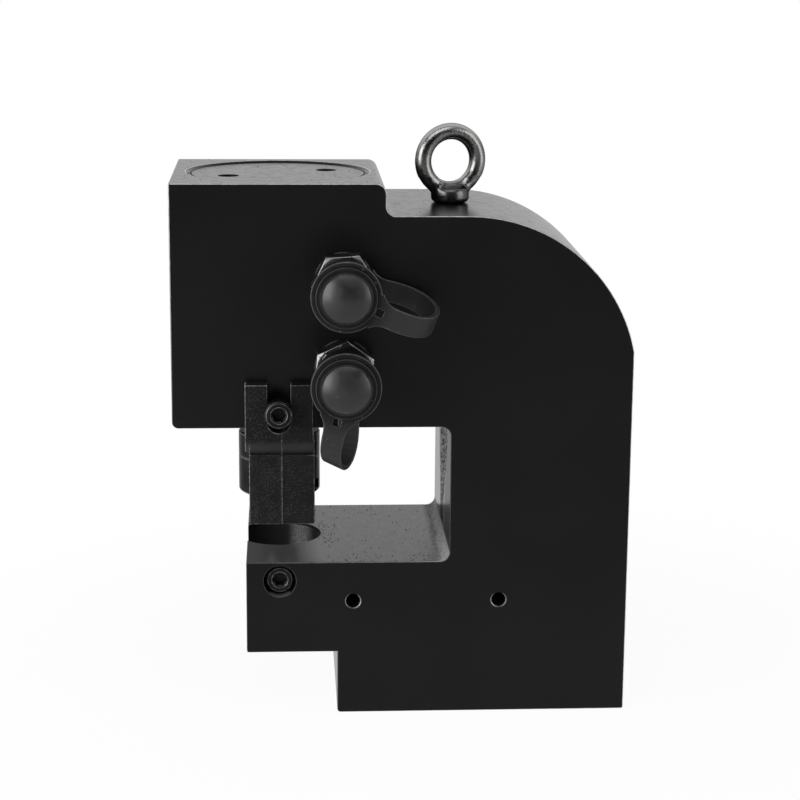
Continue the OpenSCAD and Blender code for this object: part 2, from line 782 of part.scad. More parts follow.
module stripper() {
    color([0.13, 0.13, 0.13])
    difference() {
        union() {
            along_x(plate_w)
                translate([y_plate, z_block_edge]) square([plate_t, z_plate_top - z_block_edge]);
            along_x(block_w, block_shift) block_outline();
            translate([x_ram + block_shift - ridge_h / 2, y_block - ridge_h, z_strip])
                cube([ridge_h, ridge_h + over, z_block_edge - z_strip]);
        }
        at_ram(z_strip - over)
            cylinder(d = nut_d + 2 * nut_gap, h = z_block_top - z_strip + 2 * over);
        translate([x_ram, y_block - over, z_strip_screw - stripper_up]) rotate([-90, 0, 0])
            cylinder(d = slot_w, h = frame_d / 2);
        translate([x_ram - slot_w / 2, y_block - over, z_strip_screw - stripper_up])
            cube([slot_w, frame_d / 2, plate_rise + stripper_up + over]);
    }
}

// Socket-head screw along +Z, with the top of its head at the origin
module socket_screw(length) {
    key_d = screw_key / cos(30);
    difference() {
        union() {
            rotate_extrude() polygon([
                [0, 0],
                [screw_head_d / 2 - screw_edge, 0],
                [screw_head_d / 2, screw_edge],
                [screw_head_d / 2, screw_head_h],
                [0, screw_head_h]
            ]);
            translate([0, 0, screw_head_h - over]) cylinder(d = screw_d, h = length + over);
        }
        translate([0, 0, -over]) cylinder(d = key_d, h = screw_key_depth + over, $fn = 6);
        translate([0, 0, -over])
            cylinder(d1 = key_d + screw_key_mouth + 2 * over, d2 = screw_key,
                h = (key_d + screw_key_mouth - screw_key) / 2 + over);
    }
}

module stripper_screw() {
    color([0.14, 0.14, 0.14])
    translate([x_ram, y_plate - slide_gap - screw_head_h, z_strip_screw]) rotate([-90, 0, 0])
        socket_screw(plate_t + 2 * slide_gap + stripper_screw_grip);
}

module die_lock_screw() {
    color([0.14, 0.14, 0.14])
    translate([x_ram, y_lock_head, z_lock]) rotate([-90, 0, 0])
        socket_screw(y_lock_tip - y_lock_head - screw_head_h);
}

module eyebolt() {
    tube_r = (eye_od - eye_hole_d) / 4;
    collar_r = eye_collar_d / 2;
    color([0.75, 0.76, 0.76])
    translate([x_ram + eye_offset, 0, z_shoulder]) {
        translate([0, 0, eye_rise]) rotate([90, 0, eye_turn])
            rotate_extrude() translate([eye_hole_d / 2 + tube_r, 0]) circle(tube_r);
        rotate_extrude() {
            square([collar_r - eye_collar_round, eye_collar_h]);
            translate([0, eye_collar_round]) square([collar_r, eye_collar_h - 2 * eye_collar_round]);
            for (z = [eye_collar_round, eye_collar_h - eye_collar_round])
                translate([collar_r - eye_collar_round, z]) circle(eye_collar_round);
        }
        translate([0, 0, eye_collar_h - over])
            cylinder(r1 = collar_r - eye_collar_round, r2 = tube_r,
                h = eye_rise - eye_hole_d / 2 - tube_r / 2 - eye_collar_h + over);
        translate([0, 0, -eye_thread_l]) cylinder(d = eye_thread_d, h = eye_thread_l + over);
    }
}

module hexagon() {
    corner_r = hex_af / 2 / cos(30);
    intersection() {
        cylinder(r = corner_r, h = hex_l, $fn = 6);
        rotate_extrude() polygon([
            [0, 0],
            [corner_r - 2 * hex_edge, 0],
            [corner_r, hex_edge],
            [corner_r, hex_l - hex_edge],
            [corner_r - 2 * hex_edge, hex_l],
            [0, hex_l]
        ]);
    }
}

module coupler_body(turn) {
    nose_r = nose_d / 2;
    s_ball = s_nose + ball_groove_at;
    color([0.45, 0.45, 0.44])
    rotate(turn)
    difference() {
        union() {
            translate([0, 0, -port_thread_l]) cylinder(d = port_thread_d, h = port_thread_l + over);
            cylinder(d = neck_d, h = neck_l + over);
            translate([0, 0, s_hex]) hexagon();
            translate([0, 0, s_collar - over]) cylinder(d = collar_d, h = collar_l + over);
            rotate_extrude() polygon([
                [0, s_nose - over],
                [nose_r, s_nose - over],
                [nose_r, s_ball],
                [nose_r - ball_groove_depth, s_ball + ball_groove_depth],
                [nose_r - ball_groove_depth, s_ball + ball_groove_depth + ball_groove_w],
                [nose_r, s_ball + 2 * ball_groove_depth + ball_groove_w],
                [nose_r, s_tip - nose_edge],
                [nose_r - nose_edge, s_tip],
                [0, s_tip]
            ]);
        }
        rotate_extrude() polygon([
            [0, -port_thread_l - over],
            [valve_d / 2, -port_thread_l - over],
            [valve_d / 2, s_chamber],
            [mouth_d / 2, s_seat],
            [mouth_d / 2, s_tip + over],
            [0, s_tip + over]
        ]);
    }
}

module coupler_retainer() {
    holes = 4;
    disc_r = valve_d / 2 - run_gap;
    color([0.7, 0.6, 0.3])
    translate([0, 0, s_retainer - retainer_t])
    difference() {
        cylinder(r = disc_r, h = retainer_t);
        translate([0, 0, -over]) cylinder(r = disc_r / 4, h = retainer_t + 2 * over);
        for (k = [1 : holes])
            rotate(360 * k / holes) translate([disc_r / 2, 0, -over])
                cylinder(r = disc_r / 5, h = retainer_t + 2 * over, $fn = 32);
    }
}

module coupler_spring() {
    color([0.7, 0.7, 0.7])
    polyhedron(points = spring_points, faces = sweep_faces(spring_rings, spring_sides));
}

module coupler_poppet() {
    color([0.65, 0.65, 0.63])
    rotate_extrude() polygon([
        [0, s_poppet_back],
        [poppet_r, s_poppet_back],
        [poppet_r, s_chamber],
        [stem_r, s_chamber + poppet_r - stem_r],
        [stem_r, s_tip - cap_gap],
        [0, s_tip - cap_gap]
    ]);
}

module dust_cap() {
    color([0.2, 0.2, 0.2])
    union() {
        rotate_extrude() polygon([
            [nose_d / 2 + cap_gap, s_skirt],
            [cap_skirt_d / 2, s_skirt],
            [cap_skirt_d / 2, s_groove],
            [cap_groove_d / 2 - soft_gap, s_groove],
            [cap_groove_d / 2 - soft_gap, s_flange],
            [cap_flange_d / 2, s_flange],
            [cap_flange_d / 2, s_boss],
            [cap_boss_d / 2, s_boss],
            [cap_boss_d / 2 - cap_boss_slope, s_dome],
            [cap_dome_d / 2 + cap_rim_gap, s_dome],
            [cap_dome_d / 2 + cap_rim_gap, s_dome - cap_rim_depth],
            [0, s_dome - cap_rim_depth],
            [0, s_cap_floor],
            [nose_d / 2 + cap_gap, s_cap_floor]
        ]);
        intersection() {
            translate([0, 0, s_dome + cap_dome_h - dome_r]) sphere(dome_r);
            translate([0, 0, s_dome - cap_rim_depth - over])
                cylinder(d = cap_dome_d, h = cap_rim_depth + cap_dome_h + 2 * over);
        }
    }
}

module cap_strap(reach, rear_turn, front_turn, skew) {
    points = strap_points(reach, rear_turn, front_turn, skew);
    color([0.17, 0.17, 0.17])
    difference() {
        union() {
            translate([0, 0, s_rear_ring - ring_t / 2])
                ring(neck_d / 2 + soft_gap, rear_ring_d / 2, ring_t);
            translate([0, 0, s_front_ring - ring_t / 2])
                ring(cap_groove_d / 2, front_ring_d / 2, ring_t);
            polyhedron(points = points, faces = sweep_faces(len(points) / 4, 4));
        }
        rotate(front_turn)
            translate([front_ring_d / 2 - strap_window_in, -strap_window / 2, s_front_ring - ring_t])
                cube([strap_window, strap_window, 2 * ring_t]);
    }
}

frame();
cylinder_lid();
lid_o_ring();
rod_seal();
rod_guide_band();
rod_wiper();
ram();
piston_seal();
piston_wear_ring();
punch_nut();
punch();
stripper();
stripper_screw();
die_lock_screw();
eyebolt();
at_port(z_upper_port) coupler_body(upper_hex_turn);  // upper_coupler_body
at_port(z_upper_port) coupler_retainer();  // upper_coupler_retainer
at_port(z_upper_port) coupler_spring();  // upper_coupler_spring
at_port(z_upper_port) coupler_poppet();  // upper_coupler_poppet
at_port(z_upper_port) dust_cap();  // upper_dust_cap
at_port(z_upper_port) cap_strap(upper_reach, upper_rear_turn, upper_front_turn, upper_skew);  // upper_cap_strap
at_port(z_lower_port) coupler_body(lower_hex_turn);  // lower_coupler_body
at_port(z_lower_port) coupler_retainer();  // lower_coupler_retainer
at_port(z_lower_port) coupler_spring();  // lower_coupler_spring
at_port(z_lower_port) coupler_poppet();  // lower_coupler_poppet
at_port(z_lower_port) dust_cap();  // lower_dust_cap
at_port(z_lower_port) cap_strap(lower_reach, lower_rear_turn, lower_front_turn, lower_skew);  // lower_cap_strap
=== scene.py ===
# %% [markdown]
# # A portable hydraulic hole punch
# The CAD model fixes every size, place and joint. This lesson dresses it: it rounds the
# machined edges, roughens the casting, moulds the rubber and gives each piece its finish.
# Nothing is moved, so all pieces stay where the CAD model put them.

# %% Load the CAD model
import json
import math

import bmesh
import bpy
import numpy as np
from mathutils import Matrix, Vector, noise


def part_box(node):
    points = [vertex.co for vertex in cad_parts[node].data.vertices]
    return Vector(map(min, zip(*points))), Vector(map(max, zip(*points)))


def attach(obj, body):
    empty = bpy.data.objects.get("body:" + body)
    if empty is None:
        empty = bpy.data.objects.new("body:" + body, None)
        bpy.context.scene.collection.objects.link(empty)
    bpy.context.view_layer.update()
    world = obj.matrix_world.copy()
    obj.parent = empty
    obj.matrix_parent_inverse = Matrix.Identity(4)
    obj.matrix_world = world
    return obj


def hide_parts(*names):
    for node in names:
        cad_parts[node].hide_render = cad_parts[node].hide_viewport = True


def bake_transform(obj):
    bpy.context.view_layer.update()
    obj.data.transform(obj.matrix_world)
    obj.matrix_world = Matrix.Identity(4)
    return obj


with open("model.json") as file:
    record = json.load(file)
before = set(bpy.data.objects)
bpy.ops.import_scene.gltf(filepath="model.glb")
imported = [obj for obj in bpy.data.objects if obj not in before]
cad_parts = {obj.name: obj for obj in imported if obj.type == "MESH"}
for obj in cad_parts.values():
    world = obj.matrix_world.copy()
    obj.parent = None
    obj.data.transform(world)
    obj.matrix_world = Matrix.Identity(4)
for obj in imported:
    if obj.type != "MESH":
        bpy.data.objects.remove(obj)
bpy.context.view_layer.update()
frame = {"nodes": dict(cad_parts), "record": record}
MM = 0.001

# %% [markdown]
# ## Camera
# The photograph was taken from a little above and almost straight in front, with a long lens.
# The numbers below come from fitting a camera to the corners of the frame, whose real sizes
# the CAD model has. A camera could also be aimed by eye, but then edges never quite line up.

# %% Place the camera
eye = Vector((-94.75, -1003.3, 375.7)) * MM
yaw, pitch, roll = (math.radians(a) for a in (3.259, 12.999, -0.441))
forward = Vector((math.sin(yaw) * math.cos(pitch), math.cos(yaw) * math.cos(pitch), -math.sin(pitch)))
level = Vector((math.cos(yaw), -math.sin(yaw), 0))
down = forward.cross(level)
right = math.cos(roll) * level + math.sin(roll) * down
up = math.sin(roll) * level - math.cos(roll) * down

camera = bpy.data.objects.new("camera", bpy.data.cameras.new("camera"))
bpy.context.scene.collection.objects.link(camera)
camera.data.sensor_width = 36
camera.data.lens = 93.95
turn = Matrix((right, up, -forward)).transposed()
camera.matrix_world = Matrix.Translation(eye) @ turn.to_4x4()
bpy.context.scene.camera = camera
bpy.context.scene.view_settings.view_transform = "Standard"
print("camera at", [round(v, 3) for v in eye])

# %% [markdown]
# ## Small helpers for shader nodes
# Node trees are easier to read when adding a node, setting it and linking it is one line.
# A value that is itself a socket becomes a link, and any other value is typed into the socket. The nodes
# could be placed by hand in the editor; as code they can be read from top to bottom.

# %% Node helpers
def put(tree, kind, values=None, **settings):
    node = tree.nodes.new("ShaderNode" + kind)
    for key, value in settings.items():
        setattr(node, key, value)
    for key, value in (values or {}).items():
        if isinstance(value, bpy.types.NodeSocket):
            tree.links.new(value, node.inputs[key])
        else:
            node.inputs[key].default_value = value
    return node


def math_node(tree, operation, a, b=0.0):
    return put(tree, "Math", {0: a, 1: b}, operation=operation).outputs[0]


def times(tree, a, b):
    return math_node(tree, "MULTIPLY", a, b)


def plus(tree, a, b):
    return math_node(tree, "ADD", a, b)


def minus(tree, a, b):
    return math_node(tree, "SUBTRACT", a, b)


def larger(tree, a, b):
    return math_node(tree, "MAXIMUM", a, b)


def rest_of(tree, share):
    return math_node(tree, "SUBTRACT", 1.0, share)


print("number helpers ready")

# %% [markdown]
# Most masks in this lesson ask where a point is. **place_on** gives its place on the object, **axes** splits
# that into X, Y and Z, **ramp** turns one of them into a soft step and **cloud** is plain noise there.

# %% Place and colour helpers
def place_on(tree):
    return put(tree, "TexCoord").outputs["Object"]


def axes(tree, vector):
    return put(tree, "SeparateXYZ", {0: vector}).outputs


def cloud(tree, vector, scale, detail):
    return put(tree, "TexNoise", {"Vector": vector, "Scale": scale, "Detail": detail}).outputs["Fac"]


def ramp(tree, value, low, high, to_low=0.0, to_high=1.0, smooth=True):
    kind = "SMOOTHSTEP" if smooth else "LINEAR"
    values = {"Value": value, "From Min": low, "From Max": high, "To Min": to_low, "To Max": to_high}
    return put(tree, "MapRange", values, interpolation_type=kind).outputs["Result"]


def blend_colours(tree, share, first, second):
    node = put(tree, "Mix", {"Factor": share}, data_type="RGBA")
    for socket, colour in ((node.inputs[6], first), (node.inputs[7], second)):
        if isinstance(colour, bpy.types.NodeSocket):
            tree.links.new(colour, socket)
        else:
            socket.default_value = (*colour, 1)
    return node.outputs[2]


def grey(value):
    return (value, value, value)


print("place and colour helpers ready")

# %% [markdown]
# ## White studio
# The punch stands on a white sweep, so background and floor are white and the dark metal mirrors
# them at a flat angle. The front of the studio is dim: that is why the front face stays black
# while the top faces, seen at a grazing angle, turn grey. Light Path tells the world which rays
# come from the camera or a reflection, so the white never adds light to the object.

# %% World
world = bpy.data.worlds.new("white_studio")
bpy.context.scene.world = world
world.use_nodes = True
tree = world.node_tree
tree.nodes.clear()
AMBIENT = 0.22
DIM_FRONT = 0.04
direction = put(tree, "SeparateXYZ", {0: put(tree, "TexCoord").outputs["Generated"]})
behind = ramp(tree, direction.outputs["Y"], -0.45, 0.15, DIM_FRONT, 1.0)
path = put(tree, "LightPath").outputs
mirrored = larger(tree, path["Is Glossy Ray"], path["Is Transmission Ray"])
softened = put(tree, "Mix", {"Factor": mirrored, 2: AMBIENT, 3: behind}).outputs[0]
shown = put(tree, "Mix", {"Factor": path["Is Camera Ray"], 2: softened, 3: 1.0}).outputs[0]
background = put(tree, "Background", {"Color": (1, 1, 1, 1), "Strength": shown})
tree.links.new(background.outputs[0], put(tree, "OutputWorld").inputs["Surface"])
print("world: ambient", AMBIENT)

# %% [markdown]
# A floor is needed for the soft contact shadow. Close to the punch it is a pale matt sheet that
# shows some of its own shading, and further out it fades into pure white, so no horizon line shows.
# A bent backdrop would do too, but it has to be turned with the camera, and a round floor has no side.

# %% Floor
floor_mesh = bpy.data.meshes.new("floor")
bm = bmesh.new()
bmesh.ops.create_circle(bm, cap_ends=True, segments=96, radius=6.0)
bm.to_mesh(floor_mesh)
bm.free()
floor = bpy.data.objects.new("floor", floor_mesh)
bpy.context.scene.collection.objects.link(floor)
floor.location.z = -0.0003
print("floor", floor.dimensions.x, "m across")

# %% [markdown]
# The floor's white is seen by the camera and in reflections only, and in the mirror of the black front it is
# dimmed. What light falls on the floor itself still shades it, so the punch keeps its shadow.

# %% Floor finish
pale = bpy.data.materials.new("pale_floor")
pale.use_nodes = True
tree = pale.node_tree
tree.nodes.clear()
path = put(tree, "LightPath").outputs
seen = larger(tree, path["Is Camera Ray"], path["Is Glossy Ray"])
seen = larger(tree, seen, path["Is Transmission Ray"])
place = place_on(tree)
distance = put(tree, "VectorMath", {0: place}, operation="LENGTH").outputs["Value"]
glow = ramp(tree, distance, 0.12, 0.40, 0.95, 1.0)
in_front = ramp(tree, axes(tree, place)["Y"], -0.35, -0.12, 0.08, 1.0)
unmirrored = put(tree, "Mix", {"Factor": path["Is Glossy Ray"], 2: 1.0, 3: in_front}).outputs[0]
glow = times(tree, glow, unmirrored)
sheet = put(tree, "BsdfDiffuse", {"Color": (*grey(0.8), 1)})
white = put(tree, "Emission", {"Color": (1, 1, 1, 1), "Strength": 1.0})
share = times(tree, seen, glow)
mixed = put(tree, "MixShader", {"Fac": share, 1: sheet.outputs[0], 2: white.outputs[0]})
tree.links.new(mixed.outputs[0], put(tree, "OutputMaterial").inputs["Surface"])
floor_mesh.materials.append(pale)
print("floor finish ready")

# %% [markdown]
# ## Lamps
# Two tall softboxes stand left and right of the punch, a little in front of it. They draw the pale
# sides of the round caps and leave a dark band down the middle. A third one hangs above the camera and
# lights the upper sides of the caps and of the lifting eye. Bare lamps would draw hard spots instead.

# %% Softboxes
aim = Vector((-0.04, 0, 0.13))


def softbox(name, place, width, height, power):
    lamp = bpy.data.lights.new(name, "AREA")
    lamp.shape = "RECTANGLE"
    lamp.size, lamp.size_y = width, height
    lamp.energy = power
    holder = bpy.data.objects.new(name, lamp)
    bpy.context.scene.collection.objects.link(holder)
    holder.location = place
    holder.rotation_euler = (aim - Vector(place)).to_track_quat("-Z", "Y").to_euler()
    return holder


softbox("softbox_left", (-1.15, -0.85, 0.42), 1.0, 1.2, 25.0)
softbox("softbox_right", (1.30, -0.65, 0.42), 0.9, 1.2, 12.0)
softbox("softbox_top", (0.0, -0.75, 1.20), 1.2, 0.6, 5.0)
print("three softboxes")

# %% [markdown]
# ## Effects that several finishes share
# Edges rubbed bare, dried specks, a fine skin and tool marks come back on many pieces. Each is one node
# group, so a change to it reaches every finish. Copying the nodes into each material would look
# the same, but then every change would have to be made many times.

# %% Node group helper
def new_group(name, inputs, outputs):
    group = bpy.data.node_groups.new(name, "ShaderNodeTree")
    for label, value in inputs.items():
        socket = group.interface.new_socket(label, in_out="INPUT", socket_type="NodeSocketFloat")
        socket.default_value = value
    for label in outputs:
        group.interface.new_socket(label, in_out="OUTPUT", socket_type="NodeSocketFloat")
    given = group.nodes.new("NodeGroupInput").outputs
    wanted = group.nodes.new("NodeGroupOutput").inputs
    return group, given, wanted


print("group helper ready")

# %% [markdown]
# **edge_rub** stands for handling, which rubs a coating off its edges. It reads a number called worn,
# which the rounding step stores on the mesh, and breaks it up with noise. A shader could also look for
# edges while it renders, but a stored number also survives an export.

# %% Edge rub group
edge_rub, given, wanted = new_group(
    "edge_rub", {"Amount": 0.5, "Scale": 400.0, "Steady": 0.7}, ["Mask"])
worn = put(edge_rub, "Attribute", attribute_name="worn").outputs["Fac"]
place = place_on(edge_rub)
chips = cloud(edge_rub, place, given["Scale"], 4.0)
rubbed = ramp(edge_rub, chips, 0.40, 0.60, given["Steady"], 1.0)
rubbed = times(edge_rub, times(edge_rub, worn, rubbed), given["Amount"])
edge_rub.links.new(rubbed, wanted["Mask"])

print("edge_rub has", len(edge_rub.nodes), "nodes")

# %% [markdown]
# **dry_specks** scatters small dots in clusters, where the oil film has dried or grit sticks. Each cell of a
# Voronoi pattern holds one speck or none, and a slow noise says where they crowd. Noise alone
# would give clouds without single dots.

# %% Dry specks group
dry_specks, given, wanted = new_group(
    "dry_specks", {"Scale": 500.0, "Cover": 0.3, "Cluster": 40.0, "Stretch": 1.0}, ["Mask"])
place = place_on(dry_specks)
drawn_out = put(dry_specks, "CombineXYZ", {0: 1.0, 1: given["Stretch"], 2: 1.0}).outputs[0]
place = put(dry_specks, "VectorMath", {0: place, 1: drawn_out}, operation="MULTIPLY").outputs[0]
cells = put(dry_specks, "TexVoronoi", {"Vector": place, "Scale": given["Scale"]}).outputs
crowd = cloud(dry_specks, place, given["Cluster"], 3.0)
chosen = put(dry_specks, "SeparateColor", {0: cells["Color"]}).outputs
likely = times(dry_specks, given["Cover"], ramp(dry_specks, crowd, 0.35, 0.7, 0.1, 2.0))
taken = math_node(dry_specks, "LESS_THAN", chosen[0], likely)
reach = ramp(dry_specks, chosen[1], 0.0, 1.0, 0.12, 0.42, smooth=False)
inside = minus(dry_specks, reach, cells["Distance"])
dot = ramp(dry_specks, inside, -0.04, 0.08)
dry_specks.links.new(times(dry_specks, dot, taken), wanted["Mask"])

print("dry_specks has", len(dry_specks.nodes), "nodes")

# %% [markdown]
# **fine_skin** is the small unevenness of any surface: a grain for the relief and broad patches for the
# tone. **tool_marks** are the lines of a lathe. They need one number only, the distance that the tool
# moved, so a noise in one dimension draws them.

# %% Skin and tool mark groups
fine_skin, given, wanted = new_group("fine_skin", {"Scale": 900.0, "Broad": 18.0}, ["Height", "Tone"])
place = place_on(fine_skin)
grain = cloud(fine_skin, place, given["Scale"], 3.0)
broad = cloud(fine_skin, place, given["Broad"], 5.0)
fine_skin.links.new(grain, wanted["Height"])
fine_skin.links.new(ramp(fine_skin, broad, 0.3, 0.7), wanted["Tone"])

tool_marks, given, wanted = new_group("tool_marks", {"Distance": 0.0, "Pitch": 3000.0}, ["Height"])
along = times(tool_marks, given["Distance"], given["Pitch"])
lines = put(tool_marks, "TexNoise", {"W": along, "Scale": 1.0, "Detail": 2.0}, noise_dimensions="1D")
tool_marks.links.new(lines.outputs["Fac"], wanted["Height"])
print("groups:", [g.name for g in bpy.data.node_groups])

# %% [markdown]
# A finish starts as a Principled shader whose fixed numbers are typed into its own sockets.
# The groups then vary its colour, roughness and relief.

# %% Finish helpers
def new_finish(name, **fixed):
    material = bpy.data.materials.new(name)
    material.use_nodes = True
    tree = material.node_tree
    tree.nodes.clear()
    shader = put(tree, "BsdfPrincipled", {key.replace("_", " "): value for key, value in fixed.items()})
    tree.links.new(shader.outputs[0], put(tree, "OutputMaterial").inputs["Surface"])
    return material, tree, shader


def use(tree, group, **values):
    node = tree.nodes.new("ShaderNodeGroup")
    node.node_tree = group
    for key, value in values.items():
        if isinstance(value, bpy.types.NodeSocket):
            tree.links.new(value, node.inputs[key])
        else:
            node.inputs[key].default_value = value
    return node.outputs


def relief(tree, shader, height, strength, depth):
    bump = put(tree, "Bump", {"Height": height, "Strength": strength, "Distance": depth})
    tree.links.new(bump.outputs[0], shader.inputs["Normal"])


def around(tree, x, y):
    """Distance from an upright axis."""
    place = axes(tree, place_on(tree))
    flat = put(tree, "CombineXYZ", {
        0: minus(tree, place[0], x), 1: minus(tree, place[1], y)})
    return put(tree, "VectorMath", {0: flat.outputs[0]}, operation="LENGTH").outputs["Value"]


def height_above_floor(tree):
    return axes(tree, place_on(tree))[2]


print("finish helpers ready")

# %% [markdown]
# ## Blackened steel
# The frame is milled steel with a black oxide skin under a thin film of oil. The oil is a coat with
# a low index, so it shines at a flat angle and hardly at all from the front. Plain gloss would shine
# on both alike. Where the film has dried or grit sticks, the coat is missing.

# %% Frame finish
ram_low, ram_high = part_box("ram")
ram_x, ram_y = (ram_low.x + ram_high.x) / 2, (ram_low.y + ram_high.y) / 2
frame_low, frame_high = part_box("frame")
throat_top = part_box("stripper")[1].z

blackened, tree, shader = new_finish(
    "blackened_steel", Specular_IOR_Level=0.0, Coat_Roughness=0.26, Coat_IOR=1.37)
place = axes(tree, place_on(tree))
facing = axes(tree, put(tree, "NewGeometry").outputs["Normal"])
skin = use(tree, fine_skin, Scale=700.0, Broad=22.0)
black = blend_colours(tree, skin["Tone"], grey(0.0040), grey(0.0050))
milled = ramp(tree, math_node(tree, "ABSOLUTE", facing[1]), 0.3, 0.7, 1.0, 0.0)
on_top = ramp(tree, facing[2], 0.7, 0.9)
in_throat = ramp(tree, place[2], throat_top - 0.02, throat_top, 1.0, 0.0)
print("frame finish started, ram axis at X", round(ram_x / MM, 2), "mm")

# %% [markdown]
# Specks lie on the upward faces, most of them close to the right rim of the die pocket and along the front
# edge of the jaw. Two masks made from the place of a point say how dense they are. They could be
# painted on a picture by hand, but that would need a UV map.

# %% Specks on the upward faces
beside = put(tree, "CombineXYZ", {
    0: minus(tree, place[0], ram_x + 0.024), 1: times(tree, place[1], 0.35)}).outputs[0]
from_rim = put(tree, "VectorMath", {0: beside}, operation="LENGTH").outputs["Value"]
by_pocket = ramp(tree, from_rim, 0.001, 0.011, 3.0, 0.0)
by_front = ramp(tree, place[1], frame_low.y + 0.006, frame_low.y + 0.018, 0.4, 0.0)
by_front = times(tree, by_front, ramp(tree, place[0], ram_x + 0.025, ram_x + 0.040))
crowd = plus(tree, plus(tree, by_pocket, by_front), 0.06)
crowd = plus(tree, times(tree, in_throat, crowd), 0.05)
specks = use(tree, dry_specks, Scale=1000.0, Cover=crowd, Cluster=110.0, Stretch=0.3)["Mask"]
specks = times(tree, specks, times(tree, on_top, 0.85))
print("specks ready")

# %% [markdown]
# The throat was roughed out with a side cutter. Its back wall kept a dark scaly stripe down the
# middle, which widens upward. The stripe is a mask too: how far a point is from the wall, how high it is
# and how far aside of the stripe's middle. It is too thin to be worth modelling.

# %% Scaly stripe on the throat's wall
WALL_X = ram_x + 0.081
JAW_TOP = 0.076
at_wall = ramp(tree, place[0], WALL_X - 0.0085, WALL_X - 0.0030)
at_wall = times(tree, at_wall, times(tree, in_throat, milled))
at_wall = times(tree, at_wall, ramp(tree, place[0], WALL_X + 0.001, WALL_X + 0.002, 1.0, 0.0))
drawn_out = put(tree, "CombineXYZ", {0: place[0], 1: times(tree, place[1], 0.15), 2: place[2]}).outputs[0]
pits = ramp(tree, cloud(tree, drawn_out, 1500.0, 3.0), 0.42, 0.58)
half = ramp(tree, place[2], JAW_TOP + 0.005, JAW_TOP + 0.060, 0.011, 0.034)
middle = ramp(tree, place[2], JAW_TOP + 0.005, JAW_TOP + 0.060, 0.001, -0.007)
aside = math_node(tree, "ABSOLUTE", minus(tree, place[1], middle))
stripe = ramp(tree, math_node(tree, "DIVIDE", aside, half), 0.45, 1.1, 1.0, 0.0)
front_part = ramp(tree, place[1], -0.024, -0.006, 0.48, 0.0)
scale_loss = times(tree, stripe, ramp(tree, pits, 0.0, 1.0, 0.42, 0.95, smooth=False))
wall_loss = times(tree, at_wall, larger(tree, scale_loss, front_part))
print("throat wall at X", round(WALL_X / MM, 2), "mm")

# %% [markdown]
# The fillet below the wall has a pitted skin. Its grains between dark grit get a light grey: painted glints.

# %% Pitted fillet
on_fillet = times(tree, at_wall, ramp(tree, place[2], JAW_TOP + 0.0035, JAW_TOP + 0.006, 1.0, 0.0))
grit = ramp(tree, cloud(tree, place_on(tree), 1900.0, 3.0), 0.45, 0.65)
fillet_loss = times(tree, on_fillet, ramp(tree, grit, 0.0, 1.0, 0.6, 1.0))
# painted glints: light grey on the grains between the grit
painted_glints = times(tree, on_fillet, rest_of(tree, grit))
black = blend_colours(tree, times(tree, painted_glints, 0.9), black, grey(0.38))
print("fillet ready")

# %% [markdown]
# The jaw's top has a fine grain, and hands have smudged it. Under the punch the coat is taken off, so the
# steel there doesn't mirror the white room, and its colour is an even dull grey: painted shade of the
# stripper above it.

# %% Top of the jaw
grain = cloud(tree, drawn_out, 1100.0, 4.0)
grain_loss = times(tree, on_top, ramp(tree, grain, 0.3, 0.7, 0.0, 0.14, smooth=False))
# painted shade under the punch: no mirror, an even dull grey
painted_shade_under_punch = times(tree, on_top, ramp(tree, place[0], ram_x + 0.002, ram_x + 0.024, 1.0, 0.0))
painted_shade_under_punch = times(tree, painted_shade_under_punch, in_throat)
dull = larger(tree, times(tree, grain_loss, in_throat), times(tree, painted_shade_under_punch, 0.88))
smudge = ramp(tree, cloud(tree, place_on(tree), 210.0, 5.0), 0.42, 0.68, 0.0, 0.13)
top_loss = larger(tree, dull, times(tree, on_top, smudge))
black = blend_colours(tree, painted_shade_under_punch, black, grey(0.062))
print("jaw top ready")

# %% [markdown]
# The die pocket's wall gets a lighter grey than the black outside: painted light in the deep recess. A band
# of its back wall gets a painted sheen. A second material would need its own faces there; a mask of height
# and distance from the ram's axis does without.

# %% Die pocket
below_jaw = ramp(tree, place[2], JAW_TOP - 0.0015, JAW_TOP - 0.0010, 1.0, 0.0)
in_pocket = times(tree, below_jaw, ramp(tree, around(tree, ram_x, ram_y), 0.021, 0.0215, 1.0, 0.0))
# painted sheen: a light band on the pocket's back wall
painted_sheen_band = times(tree, ramp(tree, place[0], ram_x + 0.0035, ram_x + 0.0095), in_pocket)
painted_sheen_band = times(tree, painted_sheen_band, ramp(tree, place[0], ram_x + 0.0120, ram_x + 0.0180, 1.0, 0.0))
painted_sheen_band = times(tree, painted_sheen_band, ramp(tree, pits, 0, 1, 0.5, 1.0))
# painted light: the pocket's wall is lighter than the black outside
black = blend_colours(tree, in_pocket, black, grey(0.012))
black = blend_colours(tree, painted_sheen_band, black, grey(0.11))
print("die pocket ready")

# %% [markdown]
# Last, the masks meet in the shader. The oil film is what the losses leave of it, and it is thinner on the
# front and back. Where an edge is rubbed, bare metal shows.

# %% Join the frame's masks
loss = larger(tree, larger(tree, wall_loss, fillet_loss), larger(tree, specks, top_loss))
film = ramp(tree, milled, 0.0, 1.0, 0.41, 1.0)
rub = use(tree, edge_rub, Amount=0.9, Scale=350.0)["Mask"]
tree.links.new(blend_colours(tree, rub, black, grey(0.50)), shader.inputs["Base Color"])
tree.links.new(times(tree, rub, 0.8), shader.inputs["Metallic"])
tree.links.new(ramp(tree, skin["Tone"], 0, 1, 0.5, 0.62), shader.inputs["Roughness"])
tree.links.new(times(tree, rest_of(tree, loss), film), shader.inputs["Coat Weight"])
relief(tree, shader, skin["Height"], 0.12, 0.0004)
print("frame finish has", len(tree.nodes), "nodes")

# %% [markdown]
# The lid wears the same black, but it was turned on a lathe, so its relief is rings around the ram. Dirt has
# settled in a ring just inside its edge. A wave texture would draw rings too, but all alike.

